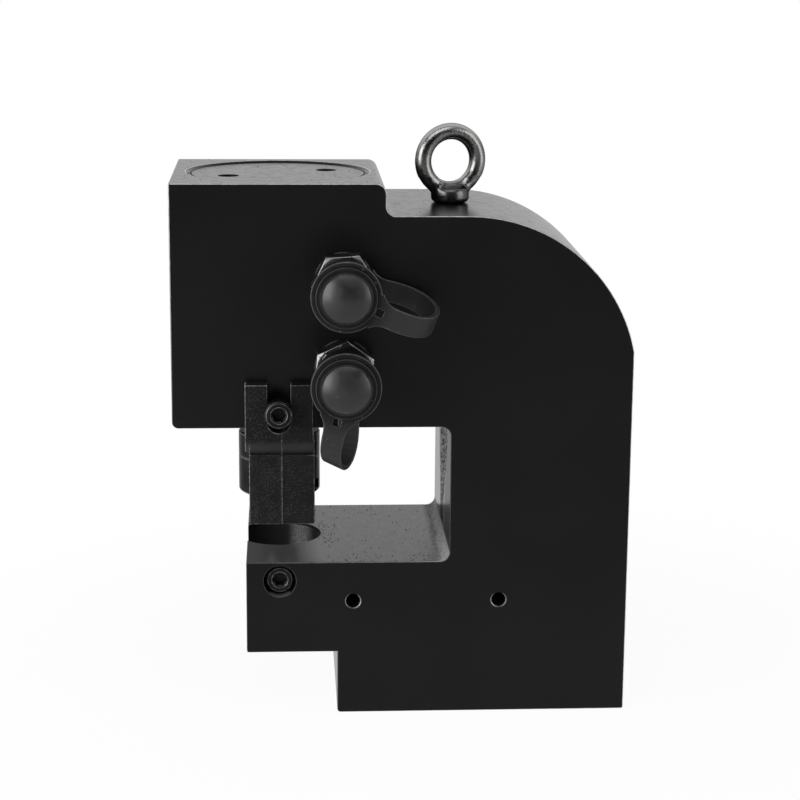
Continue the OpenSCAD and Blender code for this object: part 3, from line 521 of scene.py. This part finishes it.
# %% Lid finish
lid_finish, tree, shader = new_finish(
    "blackened_lid", Specular_IOR_Level=0.0, Coat_Roughness=0.24, Coat_IOR=1.265)
lid_low, lid_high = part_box("cylinder_lid")
lid_r = (lid_high.x - lid_low.x) / 2
from_axis = around(tree, ram_x, ram_y)
skin = use(tree, fine_skin, Scale=800.0, Broad=60.0)
specks = use(tree, dry_specks, Scale=700.0, Cover=0.12, Cluster=60.0)["Mask"]
rub = use(tree, edge_rub, Amount=0.15, Scale=350.0)["Mask"]
from_dirt = math_node(tree, "ABSOLUTE", minus(tree, from_axis, lid_r - 1.3 * MM))
dirt = ramp(tree, from_dirt, 0.0002, 0.0007, 0.85, 0.0)
smudge = ramp(tree, cloud(tree, place_on(tree), 180.0, 5.0), 0.42, 0.68, 0.0, 0.13)
loss = larger(tree, specks, larger(tree, dirt, smudge))
rings = use(tree, tool_marks, Distance=from_axis, Pitch=2600.0)["Height"]
black = blend_colours(tree, skin["Tone"], grey(0.005), grey(0.009))
tree.links.new(blend_colours(tree, rub, black, grey(0.22)), shader.inputs["Base Color"])
tree.links.new(rub, shader.inputs["Metallic"])
tree.links.new(ramp(tree, skin["Tone"], 0, 1, 0.5, 0.65), shader.inputs["Roughness"])
tree.links.new(rest_of(tree, loss), shader.inputs["Coat Weight"])
relief(tree, shader, rings, 0.15, 0.0003)
print("lid radius", round(lid_r / MM, 2), "mm")

# %% [markdown]
# ## Bare steels and brass
# The turned, ground and plated steels share one recipe: metallic, with the lines of the tool as
# relief and a little tone. They differ in brightness, roughness and relief, so one function makes them
# all. The specular tint darkens the rim of the round pieces, which mirrors the dark parts of the room.
# On the lifting eye the upward faces get a lighter grey, a painted highlight from above, and below the
# collar's top the colour is darker.

# %% Steel finishes
def steel(name, tone, rough, pitch, strength, tint=(1.0, 1.0, 1.0), rubbed=0.0, lines="height", rim=1.0,
          painted_top_light=0.0):
    material, tree, shader = new_finish(name, Metallic=1.0, Specular_Tint=(*grey(rim), 1))
    skin = use(tree, fine_skin, Scale=900.0, Broad=120.0)
    dark = tuple(tone * 0.8 * t for t in tint)
    colour = blend_colours(tree, skin["Tone"], dark, tuple(tone * 1.1 * t for t in tint))
    if painted_top_light:
        facing = axes(tree, put(tree, "NewGeometry").outputs["Normal"])[2]
        above_collar = ramp(tree, height_above_floor(tree), 0.249, 0.253)
        # painted highlight: upward faces of the eye are lighter; below the collar's top it is darker
        lit = times(tree, ramp(tree, facing, 0.15, 0.75), above_collar)
        colour = blend_colours(tree, lit, colour, grey(painted_top_light))
        colour = blend_colours(tree, rest_of(tree, above_collar), colour, grey(tone * 0.55))
    if rubbed:
        rub = use(tree, edge_rub, Amount=rubbed, Scale=300.0)["Mask"]
        colour = blend_colours(tree, rub, colour, grey(0.85))
    tree.links.new(colour, shader.inputs["Base Color"])
    tree.links.new(ramp(tree, skin["Tone"], 0, 1, rough * 0.85, rough * 1.2), shader.inputs["Roughness"])
    marks = skin["Height"]
    if lines == "height":
        marks = use(tree, tool_marks, Distance=height_above_floor(tree), Pitch=pitch)["Height"]
    relief(tree, shader, marks, strength, 0.0002)
    return material


turned_steel = steel("turned_steel", 0.024, 0.24, 3500.0, 0.12, rubbed=0.25, rim=0.55)
ground_steel = steel("ground_steel", 0.55, 0.22, 5200.0, 0.08)
plated_steel = steel(
    "plated_steel", 0.16, 0.24, 0.0, 0.4, tint=(1.0, 0.99, 0.975), lines="skin", rim=0.3, painted_top_light=0.42)
coupler_steel = steel("coupler_steel", 0.14, 0.3, 0.0, 0.06, rubbed=0.7, lines="skin")
spring_steel = steel("spring_steel", 0.5, 0.25, 0.0, 0.05, lines="skin")
brass = steel("brass", 0.75, 0.3, 0.0, 0.06, tint=(0.93, 0.74, 0.38), lines="skin")
print("steels ready")

# %% [markdown]
# ## Black casting
# The stripper is a rough casting: its grain stands up, and grey flecks are painted on it as glints, more of
# them on its left, which the stronger lamp reaches. Its coarse grain is modelled later, and the finest is
# left to the shader, because a net that fine would be far too heavy.

# %% Casting finish
stripper_low, stripper_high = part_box("stripper")

cast_black, tree, shader = new_finish("cast_black", Specular_IOR_Level=0.12)
skin = use(tree, fine_skin, Scale=1300.0, Broad=90.0)
place = axes(tree, place_on(tree))
lit_half = ramp(tree, place[0], stripper_low.x, stripper_high.x, 0.75, 0.2, smooth=False)
BLOCK_EDGE = 0.1324
# painted light: a paler band across the fillet where the arms meet the block
painted_light_band = times(tree, ramp(tree, place[2], BLOCK_EDGE + 0.0002, BLOCK_EDGE + 0.0012),
                 ramp(tree, place[2], BLOCK_EDGE + 0.003, BLOCK_EDGE + 0.006, 1.0, 0.0))
painted_light_band = times(tree, painted_light_band, ramp(tree, place[1], stripper_low.y + 0.010, stripper_low.y + 0.012, 1.0, 0.0))
# painted glints: grey flecks, denser on the left half
painted_glint_flecks = use(tree, dry_specks, Scale=2100.0, Cover=lit_half, Cluster=200.0)["Mask"]
grain = times(tree, ramp(tree, cloud(tree, place_on(tree), 1700.0, 2.0), 0.56, 0.70), lit_half)
painted_glint_flecks = larger(tree, painted_glint_flecks, grain)
painted_glint_flecks = times(tree, painted_glint_flecks, rest_of(tree, painted_light_band))
print("casting flecks ready")

# %% [markdown]
# The mould's two halves met a little right of the ram's axis and left a fine broken ridge on the block.
# Where the arms meet the block, a paler band is painted across: painted light from above on the upward
# fillet.

# %% Ridge and band of the casting
rub = use(tree, edge_rub, Amount=1.0, Scale=500.0, Steady=0.3)["Mask"]
RIDGE_X = ram_x + 1.3 * MM
from_ridge = math_node(tree, "ABSOLUTE", minus(tree, place[0], RIDGE_X))
ridge = times(tree, ramp(tree, from_ridge, 0.0001, 0.0003, 0.19, 0.0),
                  ramp(tree, place[2], BLOCK_EDGE + 0.008, BLOCK_EDGE + 0.010, 1.0, 0.0))
ridge = times(tree, ridge, ramp(tree, skin["Height"], 0.45, 0.55, 0.0, 1.0))
rub = larger(tree, rub, ridge)
black = blend_colours(tree, skin["Tone"], grey(0.0035), grey(0.0060))
black = blend_colours(tree, painted_light_band, black, grey(0.019))
black = blend_colours(tree, times(tree, painted_glint_flecks, 0.75), black, grey(0.055))
tree.links.new(blend_colours(tree, rub, black, grey(0.50)), shader.inputs["Base Color"])
tree.links.new(ramp(tree, skin["Height"], 0.3, 0.7, 0.42, 0.7), shader.inputs["Roughness"])
relief(tree, shader, plus(tree, skin["Height"], painted_glint_flecks), 0.5, 0.00025)

print("casting has", len(tree.nodes), "nodes")

# %% [markdown]
# The socket screws have a smoother black oxide skin, and the key has rubbed their edges bright. The
# edge_rub group does that with its own numbers.

# %% Screw finish
black_screw, tree, shader = new_finish("black_screw", Specular_IOR_Level=0.12)
skin = use(tree, fine_skin, Scale=1500.0, Broad=200.0)
rub = use(tree, edge_rub, Amount=0.8, Scale=420.0, Steady=0.25)["Mask"]
black = blend_colours(tree, skin["Tone"], grey(0.003), grey(0.006))
tree.links.new(blend_colours(tree, rub, black, grey(0.30)), shader.inputs["Base Color"])
tree.links.new(rub, shader.inputs["Metallic"])
tree.links.new(ramp(tree, skin["Tone"], 0, 1, 0.3, 0.45), shader.inputs["Roughness"])
relief(tree, shader, skin["Height"], 0.1, 0.0002)
print("screw finish ready")

# %% [markdown]
# ## Rubber and resin
# The caps and straps are matt black rubber with a faint grey bloom. The domes stand in the light and have
# faded, and the legs of the straps are lighter than the rings around the domes. The seals inside are darker
# and oily, and the bearing bands are brown resin. Again one function makes them all from a few numbers.

# %% Rubber finishes
def rubber(name, low, high, rough, gloss, lighter_leg=None, rubbed=0.5):
    material, tree, shader = new_finish(name, Specular_IOR_Level=gloss)
    skin = use(tree, fine_skin, Scale=1400.0, Broad=130.0)
    dust = use(tree, dry_specks, Scale=700.0, Cover=0.05, Cluster=150.0)["Mask"]
    rub = use(tree, edge_rub, Amount=rubbed, Scale=260.0)["Mask"]
    colour = blend_colours(tree, skin["Tone"], low, high)
    # The strap's legs get a lighter colour than its rings, read from a per-point attribute.
    if lighter_leg:
        leg_share = put(tree, "Attribute", attribute_name="lighter_leg").outputs["Fac"]
        colour = blend_colours(tree, leg_share, colour, lighter_leg)
    colour = blend_colours(tree, times(tree, dust, 0.3), colour, grey(0.14))
    colour = blend_colours(tree, rub, colour, grey(0.13))
    tree.links.new(colour, shader.inputs["Base Color"])
    tree.links.new(ramp(tree, skin["Tone"], 0, 1, rough - 0.05, rough + 0.07), shader.inputs["Roughness"])
    relief(tree, shader, skin["Height"], 0.15, 0.0002)
    return material


dome_rubber = rubber("dome_rubber", grey(0.008), grey(0.010), 0.36, 0.45)
cap_rubber = rubber("cap_rubber", grey(0.004), grey(0.006), 0.5, 0.15)
strap_rubber = rubber("strap_rubber", grey(0.004), grey(0.006), 0.52, 0.2, lighter_leg=grey(0.018), rubbed=1.8)
seal_rubber = rubber("seal_rubber", grey(0.012), grey(0.02), 0.4, 0.5)
bearing_resin = rubber("bearing_resin", (0.16, 0.09, 0.04), (0.26, 0.15, 0.07), 0.5, 0.5)
print("rubbers ready")

# %% [markdown]
# ## Rounding the machined edges
# A CAD solid has perfectly sharp edges, and no real part has. A Bevel modifier rounds a copy of the
# solid: flat triangles are first dissolved into whole faces, then each convex edge gets a weight, its
# own width as a share of the widest one. The middle of each rounding gets worn = 1, which the
# edge_rub group reads. Bevelling in edit mode would do the same, but with one width for all edges.

# %% Rounding helper
SHARP = math.radians(28)
WIDEST = 2.0


def solid_copy(node):
    bm = bmesh.new()
    bm.from_mesh(frame["nodes"][node].data)
    bmesh.ops.remove_doubles(bm, verts=bm.verts, dist=1e-6)
    bmesh.ops.dissolve_limit(bm, angle_limit=math.radians(0.2), verts=bm.verts, edges=bm.edges)
    return bm


def rounded_mesh(node, width_of, segments, prepare):
    """A copy of a node with its convex edges rounded, and the worn value on the roundings."""
    bm = solid_copy(node)
    if prepare:
        prepare(bm)
    weight = bm.edges.layers.float.new("bevel_weight_edge")
    for edge in bm.edges:
        if len(edge.link_faces) == 2 and edge.is_convex and edge.calc_face_angle(0) > SHARP:
            edge[weight] = width_of(edge) / WIDEST
    sharp = bpy.data.meshes.new(node + "_sharp")
    bm.to_mesh(sharp)
    bm.free()
    for label in ("whole", "rounding"):
        sharp.materials.append(bpy.data.materials.new(label))
    holder = bpy.data.objects.new("rounding", sharp)
    bpy.context.scene.collection.objects.link(holder)
    bevel = holder.modifiers.new("bevel", "BEVEL")
    bevel.limit_method = "WEIGHT"
    bevel.offset_type = "OFFSET"
    bevel.width = WIDEST * MM
    bevel.segments = segments
    bevel.use_clamp_overlap = False
    bevel.material = 1
    mesh = bpy.data.meshes.new_from_object(holder.evaluated_get(bpy.context.evaluated_depsgraph_get()))
    mesh.name = node + "_rounded"
    bpy.data.objects.remove(holder)
    inner = np.ones(len(mesh.vertices))
    for polygon in mesh.polygons:
        if polygon.material_index == 0:
            inner[list(polygon.vertices)] = 0
        polygon.material_index = 0
    for material in list(mesh.materials):
        bpy.data.materials.remove(material)
    mesh.materials.clear()
    mesh.attributes.new("worn", "FLOAT", "POINT").data.foreach_set("value", inner)
    return mesh


print("rounding helper ready")

# %% [markdown]
# A rounded copy takes the place of its CAD node: it keeps the node's body, so it moves with it. Weighted
# normals keep the large faces flat right up to the roundings. The CAD mesh itself is left alone, because
# the simulation uses it.

# %% Helpers that put a piece in a node's place
def body_of_node(node):
    return next(b for b, members in frame["record"]["behaviour"]["bodies"].items() if node in members)


def dress(name, mesh, node, finish):
    for polygon in mesh.polygons:
        polygon.use_smooth = True
    mesh.materials.append(finish)
    piece = bpy.data.objects.new(name, mesh)
    bpy.context.scene.collection.objects.link(piece)
    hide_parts(node)
    return piece


def rounded_piece(node, finish, width_of, segments=2, prepare=None):
    mesh = rounded_mesh(node, width_of, segments, prepare)
    mesh.set_sharp_from_angle(angle=math.radians(40))
    piece = dress(node + "_rounded", mesh, node, finish)
    even = piece.modifiers.new("even_normals", "WEIGHTED_NORMAL")
    even.keep_sharp = True
    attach(piece, body_of_node(node))
    print(node, "rounded,", len(mesh.vertices), "points")
    return piece


def centre(node):
    low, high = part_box(node)
    return (low + high) / 2


print("piece helpers ready for", len(frame["nodes"]), "nodes")

# %% [markdown]
# ## Frame and lid
# An edge is told by its place: the rim of a hole by its distance from the axis of that hole. Those axes
# come from the boxes of the pieces in the holes and from the record's mounts, so they follow the CAD
# model. Picking edges by number would break as soon as the mesh changes.

# %% Axes of the frame's holes
in_front_holes = ("upper_coupler_body", "lower_coupler_body", "stripper_screw", "die_lock_screw")
front_axes = [centre(node) for node in in_front_holes]
side_holes = next(m for m in frame["record"]["mounts"] if m["name"] == "side_holes")
hole_axes = []
for side in (-1, 1):
    shift = side * side_holes["dims"]["spacing_x_mm"] / 2 * MM
    hole_axes.append(Vector(side_holes["pos_m"]) + Vector((shift, 0, 0)))
eye_axis = centre("eyebolt")


def near(middle, axes, reach):
    return any(math.hypot(middle.x - a.x, middle.z - a.z) < reach for a in axes)


print("side holes at X", [round(axis.x / MM, 2) for axis in hole_axes], "mm")

# %% [markdown]
# The lower corners of jaw and foot are rounded more than the rest, so they are bevelled first. In Blender
# a face with holes is one outline with cuts that lead to its holes, and a cut that ends in a corner
# would pull the bevel out of shape. So front and back get a narrow rim first, and so do the faces between
# them: then the cuts end at the rim.

# %% Lower corners and rims
JAW_END_X = ram_x - 0.016
JAW_UNDER = 0.031


def corner_radius(edge):
    """In mm, for the lower corners of jaw and foot; None for every other edge."""
    middle = (edge.verts[0].co + edge.verts[1].co) / 2
    across = abs((edge.verts[1].co - edge.verts[0].co).normalized().y) > 0.999
    under_jaw = abs(middle.z - JAW_UNDER) < 0.01 * MM and middle.x < JAW_END_X + 0.01 * MM
    foot_corner = middle.z < 0.01 * MM and edge.calc_face_angle(0.0) > 1.0
    if not across or not (under_jaw or foot_corner):
        return None
    return 1.6 if middle.x < 0 else 0.8


def prepare_frame(bm):
    """Round the lower corners, then keep the cuts that lead to the holes off the frame's edges."""
    for side in (-1, 1):
        everything = bm.verts[:] + bm.edges[:] + bm.faces[:]
        plane = (0, side * (frame_high.y - 1 * MM), 0)
        bmesh.ops.bisect_plane(bm, geom=everything, plane_co=plane, plane_no=(0, 1, 0))
    for radius in (1.6, 0.8):
        corner = [edge for edge in bm.edges if corner_radius(edge) == radius]
        bmesh.ops.bevel(bm, geom=corner, offset=radius * MM, offset_type="OFFSET", segments=5,
                        profile=0.5, affect="EDGES", clamp_overlap=False)
    for side in (-1, 1):
        flat = [face for face in bm.faces if face.normal.y * side > 0.999
                and side * face.calc_center_median().y > frame_high.y - 0.1 * MM]
        bmesh.ops.inset_region(bm, faces=flat, thickness=0.7 * MM, use_even_offset=True)


print("jaw ends at X", round(JAW_END_X / MM, 2), "mm")

# %% [markdown]
# The frame's outer edges were broken with a file. The head's free end took most of it, the rims of the
# holes little, and the tapped holes have a small countersink.

# %% Round the frame
def frame_width(edge):
    middle = (edge.verts[0].co + edge.verts[1].co) / 2
    span = edge.verts[1].co - edge.verts[0].co
    on_outline = abs(abs(middle.y) - frame_high.y) < 0.01 * MM
    from_ram = math.hypot(middle.x - ram_x, middle.y - ram_y)
    from_eye = math.hypot(middle.x - eye_axis.x, middle.y - eye_axis.y)
    if near(middle, hole_axes, 6 * MM):
        return 0.6
    if near(middle, front_axes, 10 * MM) or from_eye < 10 * MM or (from_ram < 45 * MM and not on_outline):
        return 0.3
    if abs(span.z) > 50 * MM and middle.x < frame_low.x + 1 * MM:
        return 0.9
    return 0.45


frame_piece = rounded_piece("frame", blackened, frame_width, segments=3, prepare=prepare_frame)
rounded_piece("cylinder_lid", lid_finish, lambda edge: 0.35)

# %% [markdown]
# Not every edge is rubbed alike. On the countersinks the rub is kept to crescents on two sides, a painted
# highlight, and the edges around throat, jaw and foot are rubbed hardly at all, apart from the jaw's front
# edge.

# %% Wear on the frame's edges
for vert, value in zip(frame_piece.data.vertices, frame_piece.data.attributes["worn"].data):
    spot = vert.co
    hole = next((axis for axis in hole_axes if near(spot, [axis], 6 * MM)), None)
    if hole:
        # painted highlight: the countersink's rub is kept to crescents on two sides
        painted_shine_side = 1 if hole is hole_axes[0] else -1
        away = (spot - hole).normalized()
        sideways = painted_shine_side * away.x
        value.value *= max(0.0, 0.9 * sideways - 0.3 * away.z - 0.15, -0.6 * sideways - 0.1 * away.z - 0.1)
    elif not (spot.z > throat_top - 0.019 or spot.x > frame_high.x - 1 * MM):
        on_jaw_front = abs(spot.z - JAW_TOP) < 1 * MM and spot.y < 0 and spot.x > ram_x + 0.035
        value.value *= 0.5 if on_jaw_front else 0.12
print("wear set on", len(frame_piece.data.vertices), "points")

# %% [markdown]
# ## Small machined pieces
# The nut, the punch, the couplers and the screws only need the fine rounding that a lathe leaves. Without
# it their edges would have no highlight at all.

# %% Round the small steel pieces
rounded_piece("punch_nut", turned_steel, lambda edge: 0.3)
rounded_piece("punch", ground_steel, lambda edge: 0.25)
rounded_piece("upper_coupler_body", coupler_steel, lambda edge: 0.25)
rounded_piece("lower_coupler_body", coupler_steel, lambda edge: 0.25)
rounded_piece("stripper_screw", black_screw, lambda edge: 0.2)
rounded_piece("die_lock_screw", black_screw, lambda edge: 0.2)

# %% [markdown]
# ## Dust caps
# The caps are turned forms in rubber. The dome stands in the light and has faded to a smoother grey,
# while the flange around it is still black, so the faces of the dome get a material of their own. A mask
# in one material would do too, but gloss and roughness differ as well.

# %% Round the caps
for side in ("upper", "lower"):
    cap = rounded_piece(side + "_dust_cap", cap_rubber, lambda edge: 0.3)
    cap.data.materials.append(dome_rubber)
    axis = centre(side + "_dust_cap")
    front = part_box(side + "_dust_cap")[0].y
    for face in cap.data.polygons:
        from_axis = math.hypot(face.center.x - axis.x, face.center.z - axis.z)
        face.material_index = int(from_axis < 11 * MM and face.center.y < front + 3.6 * MM)

# %% [markdown]
# ## Forged, cast and moulded pieces
# The eyebolt was forged, the stripper cast and the straps moulded, so their corners flow into each
# other. A bevel cannot do that. Here a copy of the solid is turned into a fine even net with the
# Remesh modifier, and then every point is moved toward its neighbours a few times. Edges that stood
# proud sink the most, and how far they sank becomes the worn value. Between two heights the points can
# go on moving for longer, where a forging flows from one form into the next.

# %% Melting helper
FLOW_ROUNDS = 60


def melt(source, voxel, rounds, flow):
    holder = bpy.data.objects.new("melting", source)
    bpy.context.scene.collection.objects.link(holder)
    net = holder.modifiers.new("net", "REMESH")
    net.mode = "VOXEL"
    net.voxel_size = voxel * MM
    mesh = bpy.data.meshes.new_from_object(holder.evaluated_get(bpy.context.evaluated_depsgraph_get()))
    bpy.data.objects.remove(holder)
    points = np.empty(len(mesh.vertices) * 3)
    mesh.vertices.foreach_get("co", points)
    normals = np.empty(len(points))
    mesh.vertices.foreach_get("normal", normals)
    pairs = np.empty(len(mesh.edges) * 2, dtype=np.int32)
    mesh.edges.foreach_get("vertices", pairs)
    points, normals, pairs = points.reshape(-1, 3), normals.reshape(-1, 3), pairs.reshape(-1, 2)
    neighbours = np.bincount(pairs.ravel(), minlength=len(points))[:, None]
    soft = points.copy()
    flowing = (points[:, 2:3] > flow[0]) & (points[:, 2:3] < flow[1])
    for step in range(rounds + (FLOW_ROUNDS if flowing.any() else 0)):
        total = np.zeros_like(soft)
        np.add.at(total, pairs[:, 0], soft[pairs[:, 1]])
        np.add.at(total, pairs[:, 1], soft[pairs[:, 0]])
        moved = (soft + total / neighbours) / 2
        soft = moved if step < rounds else np.where(flowing, moved, soft)
    sunk = ((points - soft) * normals).sum(axis=1)
    mesh.vertices.foreach_set("co", soft.ravel())
    worn = mesh.attributes.new("worn", "FLOAT", "POINT")
    worn.data.foreach_set("value", np.clip(1.6 * sunk / (voxel * MM) - 0.2, 0, 1))
    mesh.update()
    return mesh


def melted_piece(node, name, voxel, rounds, finish, flow=(0, 0)):
    mesh = melt(frame["nodes"][node].data.copy(), voxel, rounds, flow)
    mesh.materials.clear()
    piece = dress(name, mesh, node, finish)
    print(name, len(mesh.vertices), "points")
    return piece


print("melting helper ready")

# %% [markdown]
# The eyebolt was forged in a die from one bar, so its ring runs into the collar without an edge. A ring
# and a disc could be joined with a fillet by hand, but letting the net flow gives the soft, slightly
# uneven transition of a forging.

# %% Forge the eyebolt
COLLAR_FLOW = (0.2465, 0.2545)
eye_piece = melted_piece("eyebolt", "eyebolt_forged", 0.4, 14, plated_steel, COLLAR_FLOW)
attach(eye_piece, "frame")

# %% [markdown]
# The stripper is a rough casting, so it gets grain: every point sinks a little, by an amount that noise
# decides. A Displace modifier could push points out as well, but sinking them keeps the casting
# inside its CAD solid.

# %% Cast the stripper
stripper_piece = melted_piece("stripper", "stripper_cast", 0.45, 5, cast_black)
GRAIN = 0.12 * MM
net = stripper_piece.data
inward = [-vert.normal for vert in net.vertices]
for vert, way, value in zip(net.vertices, inward, net.attributes["worn"].data):
    on_block_edge = abs(vert.co.z - BLOCK_EDGE) < 1.2 * MM and vert.co.y < stripper_low.y + 7 * MM
    off_sides = min(vert.co.x - stripper_low.x, stripper_high.x - vert.co.x) > 3 * MM
    if on_block_edge and off_sides:
        value.value *= 0.08
    # painted highlight: edges on the left half get more rub, those on the right less, on the side of the
    # stronger lamp
    value.value *= 1.6 if vert.co.x < ram_x else 0.8
    rough = (noise.noise(vert.co * 420) + noise.noise(vert.co * 1100)) / 2
    vert.co += way * (0.5 + 0.5 * rough) * GRAIN
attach(stripper_piece, "stripper")
print("stripper grain", round(GRAIN / MM, 2), "mm")

# %% [markdown]
# The straps are flat rubber bands with a ring at each end. The legs are lighter than the rings, so each
# point gets a value from its distance to the coupler's axis.

# %% Mould the straps
RING_END = 15.5 * MM
LEG_RAMP = 7 * MM
for side in ("upper", "lower"):
    cap = side + "_dust_cap"
    strap = melted_piece(side + "_cap_strap", side + "_strap_moulded", 0.3, 5, strap_rubber)
    middle, port = centre(cap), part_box(side + "_coupler_body")[0]
    lighter_leg = strap.data.attributes.new("lighter_leg", "FLOAT", "POINT").data
    # each point's share of the lighter leg colour grows with its distance from the cap's axis
    for vert, value in zip(strap.data.vertices, lighter_leg):
        from_axis = math.hypot(vert.co.x - middle.x, vert.co.z - middle.z)
        value.value = min(1.0, max(0.0, (from_axis - RING_END) / LEG_RAMP))
    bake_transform(strap)

# %% [markdown]
# ## Valve springs
# In each coupler a small spring presses the poppet shut. Its coil is already in the CAD model as a tube with
# few sides, so it only has to become round wire.

# %% Wind the valve springs
for side in ("upper", "lower"):
    node = side + "_coupler_spring"
    spring = melted_piece(node, side + "_spring_coil", 0.2, 3, spring_steel)
    middle = centre(node)
    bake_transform(spring)

# %% [markdown]
# ## Pieces inside the head
# The ram, the seals, the bands and the small valve pieces can't be seen from outside. Their CAD solids stay
# as they are and only get a finish, for whoever takes the punch apart.

# %% Finishes of the CAD nodes that stay
for node, finish in {
        "ram": ground_steel, "lid_o_ring": seal_rubber, "rod_seal": seal_rubber, "rod_wiper": seal_rubber,
        "piston_seal": seal_rubber, "rod_guide_band": bearing_resin, "piston_wear_ring": bearing_resin,
        "upper_coupler_poppet": ground_steel, "lower_coupler_poppet": ground_steel,
        "upper_coupler_retainer": brass, "lower_coupler_retainer": brass}.items():
    frame["nodes"][node].data.materials.clear()
    frame["nodes"][node].data.materials.append(finish)
print("CAD nodes finished")
